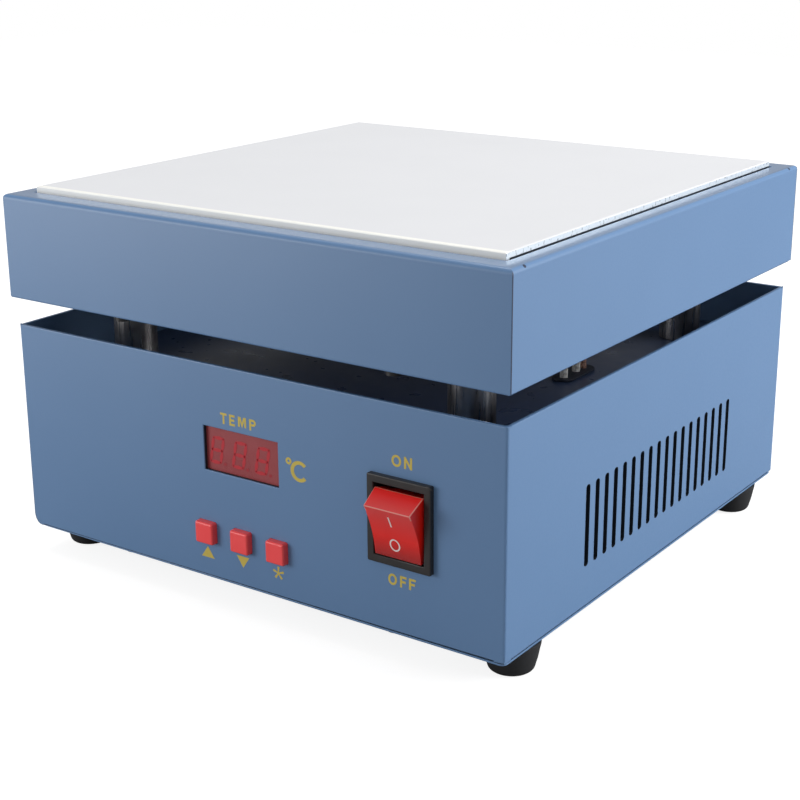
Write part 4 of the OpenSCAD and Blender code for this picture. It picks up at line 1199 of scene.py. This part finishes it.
@dataclass
class Lettering:
    """The screen-printed legends on the front panel.

    Each letter is drawn with strokes in a box of unit height, like the plain bold capitals of
    panel printing. A row holds the height of its foot and its top above the case's underside,
    and for each legend its name, its shape and its left and right side, in millimetres.
    """

    ink: float = mm(0.02)
    stroke: float = 0.2
    rows: tuple[tuple[float, float, tuple[tuple[str, Shape, float, float], ...]], ...] = (
        (59.4, 63.4, (("temp_t", Shape.T, -8.42, -5.5), ("temp_e", Shape.E, -4.39, -1.89),
                      ("temp_m", Shape.M, -0.48, 3.12), ("temp_p", Shape.P, 4.51, 7.41))),
        (58.8, 62.85, (("on_o", Shape.O, 63.43, 67.19), ("on_n", Shape.N, 68.28, 71.4))),
        (17.45, 21.5, (("off_o", Shape.O, 61.75, 65.26), ("off_f", Shape.F, 66.46, 69.03),
                       ("off_f_second", Shape.F, 70.01, 72.68))),
        (45.1, 52.6, (("celsius", Shape.C, 21.97, 28.62),)),
        (50.55, 53.05, (("degree", Shape.RING, 19.95, 22.45),)),
        (7.6, 11.8, (("up", Shape.UP, -19.8, -13.8), ("down", Shape.DOWN, -3.4, 2.3))),
        (7.3, 11.9, (("star", Shape.STAR, 12.9, 17.8),)),
    )

    def build(self) -> None:
        """Prints every legend."""
        for bottom, top, legends in self.rows:
            for name, shape, left, right in legends:
                self.print_on_panel(f"legend_{name}", shape, (mm(left), mm(right)),
                                    (mm(bottom), mm(top)))

    def print_on_panel(self, name: str, shape: Shape, across: Pair, up: Pair) -> None:
        """Draws a legend flat, fits it to its box and stands it on the panel.

        Args:
            name: The legend's name.
            shape: What it shows.
            across: Its left and right side.
            up: Its foot and top above the case's underside.
        """
        wide, high = across[1] - across[0], up[1] - up[0]
        strokes = [ribbon(*stroke) for stroke in self.strokes(shape, wide / high)]
        for i, stroke in enumerate(strokes):
            stroke.data.transform(Matrix.Translation((0, 0, i * self.ink / 4)))
        piece = join(strokes, name)
        xs, ys = ([v.co[axis] for v in piece.data.vertices] for axis in (0, 1))
        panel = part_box("lower_case")[0].y
        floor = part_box("bottom_plate")[0].z
        piece.data.transform(
            Matrix.Translation((across[0], panel - self.ink, floor + up[0]))
            @ Matrix.Rotation(math.pi / 2, 4, "X")
            @ Matrix.Diagonal((wide / (max(xs) - min(xs)), high / (max(ys) - min(ys)), 1, 1))
            @ Matrix.Translation((-min(xs), -min(ys), 0)))
        apply_modifier(piece, "SOLIDIFY", thickness=self.ink, offset=0)
        dress(piece, INK)

    def strokes(self, shape: Shape, w: float) -> list[tuple[list, list, bool]]:
        """Gives the strokes of a legend in a box of unit height.

        Args:
            shape: What the legend shows.
            w: The box's width.

        Returns:
            For each stroke its points, its width at each point and whether it is closed.
        """
        if shape is Shape.STAR:
            turns = [math.radians(90 + 72 * i) for i in range(5)]
            return [([(0, 0), (math.cos(a) / 2, math.sin(a) / 2)], [0.1, 0.19], False)
                    for a in turns]
        if shape in (Shape.UP, Shape.DOWN):
            widths = [w, w / 100]
            return [([(0, 0), (0, 1)], widths[::1 if shape is Shape.UP else -1], False)]
        t = {Shape.RING: 0.32, Shape.C: 0.17}.get(shape, self.stroke)
        h = t / 2
        foot, head = (h, 0), (h, 1)
        sides = [[foot, head], [(w - h, 0), (w - h, 1)]]
        oval = (w / 2, 0.5, w / 2 - h, 0.5 - h)
        lines: dict[Shape, list[list[Pair]]] = {
            Shape.T: [[(0, 1 - h), (w, 1 - h)], [(w / 2, 0), (w / 2, 1 - t)]],
            Shape.E: [[(w, h), (h, h), (h, 1 - h), (w, 1 - h)], [(t, 0.5), (w * 0.9, 0.5)]],
            Shape.F: [[foot, (h, 1 - h), (w, 1 - h)], [(t, 0.5), (w * 0.88, 0.5)]],
            Shape.M: [*sides, [(t, 0.96), (w / 2, 0.15), (w - t, 0.96)]],
            Shape.N: [*sides, [(h, 0.92), (w - h, 0.08)]],
            Shape.P: [[foot, (h, 1 - h), *arc(w - 0.3, 0.69, 0.3 - h, 0.31 - h, 90, -90, 18),
                       (t, 0.38 + h)]],
            Shape.O: [arc(*oval, 0, 350, 35)],
            Shape.RING: [arc(*oval, 0, 350, 35)],
            Shape.C: [arc(*oval, 42, 318, 28)],
        }
        closed = shape in (Shape.O, Shape.RING)
        return [(points, [t] * len(points), closed) for points in lines[shape]]


@dataclass
class Fittings:
    """The rest of what shows: feet, inlet, drawer and lead bushes, with softened edges."""

    sheet_edge: float = mm(0.15)
    edge: float = mm(0.3)
    hole: float = mm(2.2)
    bore: float = mm(4.2)
    bore_edge: float = mm(0.4)
    recess: float = mm(6.0)
    foot_out: float = mm(1.5)
    tip: float = mm(5.9)
    tip_edge: float = mm(2.2)
    flare: tuple[Pair, ...] = (
        (8.3, 2.8), (8.8, 4.6), (9.2, 6.6), (9.5, 8.3), (9.8, 9.5), (9.9, 10.6), (9.9, 11.0))
    steps: int = 64

    def build(self) -> None:
        """Turns the feet, and dresses each other fitting as a copy of its node."""
        soften("head_pan", PAN, "zinc_steel", self.sheet_edge)
        soften("deck", DECK, "deck_enamel", self.sheet_edge)
        for corner in ("front_left", "front_right", "rear_left", "rear_right"):
            self.foot(f"foot_{corner}")
            soften(f"pillar_{corner}", DRAWN, "pillar_steel", self.edge)
        soften("power_inlet", BLACK, "black_plastic", self.edge)
        soften("fuse_drawer", BLACK, "black_plastic", self.edge, "fuse_drawer_body")
        soften("head_bush", SLEEVE, "white_sleeve", self.edge)
        soften("deck_bush", BUSH, "black_bush", self.edge)

    def foot(self, node: str) -> None:
        """Turns a foot: a taper that flares under the case, over a round lower edge.

        Args:
            node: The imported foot.
        """
        low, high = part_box(node)
        middle = (low + high) / 2
        middle.x += math.copysign(self.foot_out, middle.x)
        outline = [(self.hole, high.z), (self.hole, self.recess), (self.bore, self.recess),
                   (self.bore, self.bore_edge), (self.bore + self.bore_edge, 0)]
        outline += [(self.tip + self.tip_edge * math.sin(turn),
                     self.tip_edge * (1 - math.cos(turn)))
                    for turn in (math.radians(15 * i) for i in range(6))]
        outline += [(mm(r), mm(z)) for r, z in self.flare]
        shape = bmesh.new()
        ring = [shape.verts.new((middle.x + r, middle.y, z)) for r, z in outline]
        edges = [shape.edges.new((a, b)) for a, b in zip(ring, ring[1:] + ring[:1])]
        bmesh.ops.spin(shape, geom=[*ring, *edges], cent=(middle.x, middle.y, 0),
                       axis=(0, 0, 1), angle=math.tau, steps=self.steps, use_merge=True)
        bmesh.ops.remove_doubles(shape, verts=shape.verts, dist=mm(0.002))
        bmesh.ops.recalc_face_normals(shape, faces=shape.faces)
        piece = piece_from(f"turned_{node}", shape)
        only(piece)
        bpy.ops.object.shade_smooth_by_angle(angle=SMOOTH)
        dress(piece, RUBBER, stands_for=(node,))


def finish_nodes() -> None:
    """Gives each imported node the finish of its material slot."""
    for part in frame["record"]["subparts"]:
        coat(frame["nodes"][part["node"]], SLOT_FINISH[part["material_slot"]])


# Studio


@dataclass
class Studio:
    """The white floor, the white room and the soft lamps."""

    floor_size: float = 3.6
    ambient: float = 0.38
    backdrop: float = 1.0
    aim: Triple = (0, 0, mm(70))
    lamps: tuple[tuple[str, Triple, float, float], ...] = (
        ("key", (0.95, 0.42, 0.46), 0.7, 9.8), ("low_side", (0.9, 0.5, 0.17), 0.3, 1.4),
        ("front_fill", (-0.5, -0.6, 0.16), 0.4, 2.8), ("top", (-0.1, 0.2, 1.45), 1.0, 11.2))

    def build(self) -> None:
        """Builds the room, the floor and the lamps."""
        self.room()
        bpy.ops.mesh.primitive_plane_add(size=self.floor_size)
        floor = bpy.context.object
        floor.name = "floor"
        coat(floor, PaperSweep("white_floor", "A0A0A0"))
        for lamp in self.lamps:
            self.lamp(*lamp)

    def room(self) -> None:
        """Lights the room evenly, and shows it white to the camera and through clear parts."""
        world = bpy.data.worlds.new("white_room")
        bpy.context.scene.world = world
        graph = fresh_graph(world)
        strength = graph.between(graph.seen_directly(), self.ambient, self.backdrop, 0.0, 1.0)
        light = graph.add("Background", {"Color": linear("FFFFFF")}, {"Strength": strength})
        graph.add("OutputWorld", links={"Surface": light})

    def lamp(self, name: str, place: Triple, size: float, power: float) -> None:
        """Hangs a square soft lamp that points at the object.

        Args:
            name: The lamp's name.
            place: Its place in metres.
            size: Its side in metres.
            power: Its power in watts.
        """
        bpy.ops.object.light_add(type="AREA", location=place)
        lamp = bpy.context.object
        lamp.name = name
        lamp.visible_camera = False
        lamp.data.size = size
        lamp.data.energy = power
        ahead = Vector(self.aim) - Vector(place)
        lamp.rotation_euler = ahead.to_track_quat("-Z", "Y").to_euler()


@dataclass
class Viewpoint:
    """The camera at the photograph's angle, solved from the object's straight edges."""

    place: Triple = (0.339901, -0.493671, 0.245172)
    azimuth: float = 35.185
    pitch: float = 17.872
    roll: float = -0.332
    lens: float = 71.724
    sensor: float = 36.0

    def build(self) -> None:
        """Places the camera and makes it the scene's."""
        az, down, roll = (math.radians(a) for a in (self.azimuth, self.pitch, self.roll))
        ahead = Vector((-math.sin(az) * math.cos(down), math.cos(az) * math.cos(down),
                        -math.sin(down)))
        level = Vector((math.cos(az), math.sin(az), 0))
        above = level.cross(ahead)
        right = level * math.cos(roll) + above * math.sin(roll)
        upward = above * math.cos(roll) - level * math.sin(roll)
        bpy.ops.object.camera_add()
        camera = bpy.context.object
        turn = Matrix((right, upward, -ahead)).transposed().to_4x4()
        camera.matrix_world = Matrix.Translation(self.place) @ turn
        camera.data.lens = self.lens
        camera.data.sensor_width = self.sensor
        camera.data.sensor_fit = "HORIZONTAL"
        bpy.context.scene.camera = camera


def main() -> None:
    """Builds the camera, the studio and every dressed sub-assembly in order."""
    logging.basicConfig(level=logging.INFO, format="%(name)s: %(message)s")
    bpy.context.scene.view_settings.view_transform = "Standard"
    Viewpoint().build()
    Studio().build()
    finish_nodes()
    for part in (Enclosure(), HeatingPlate(), Buttons(), PowerSwitch(), Display(),
                 Lettering(), Fittings()):
        part.build()


if __name__ == "__main__":
    main()
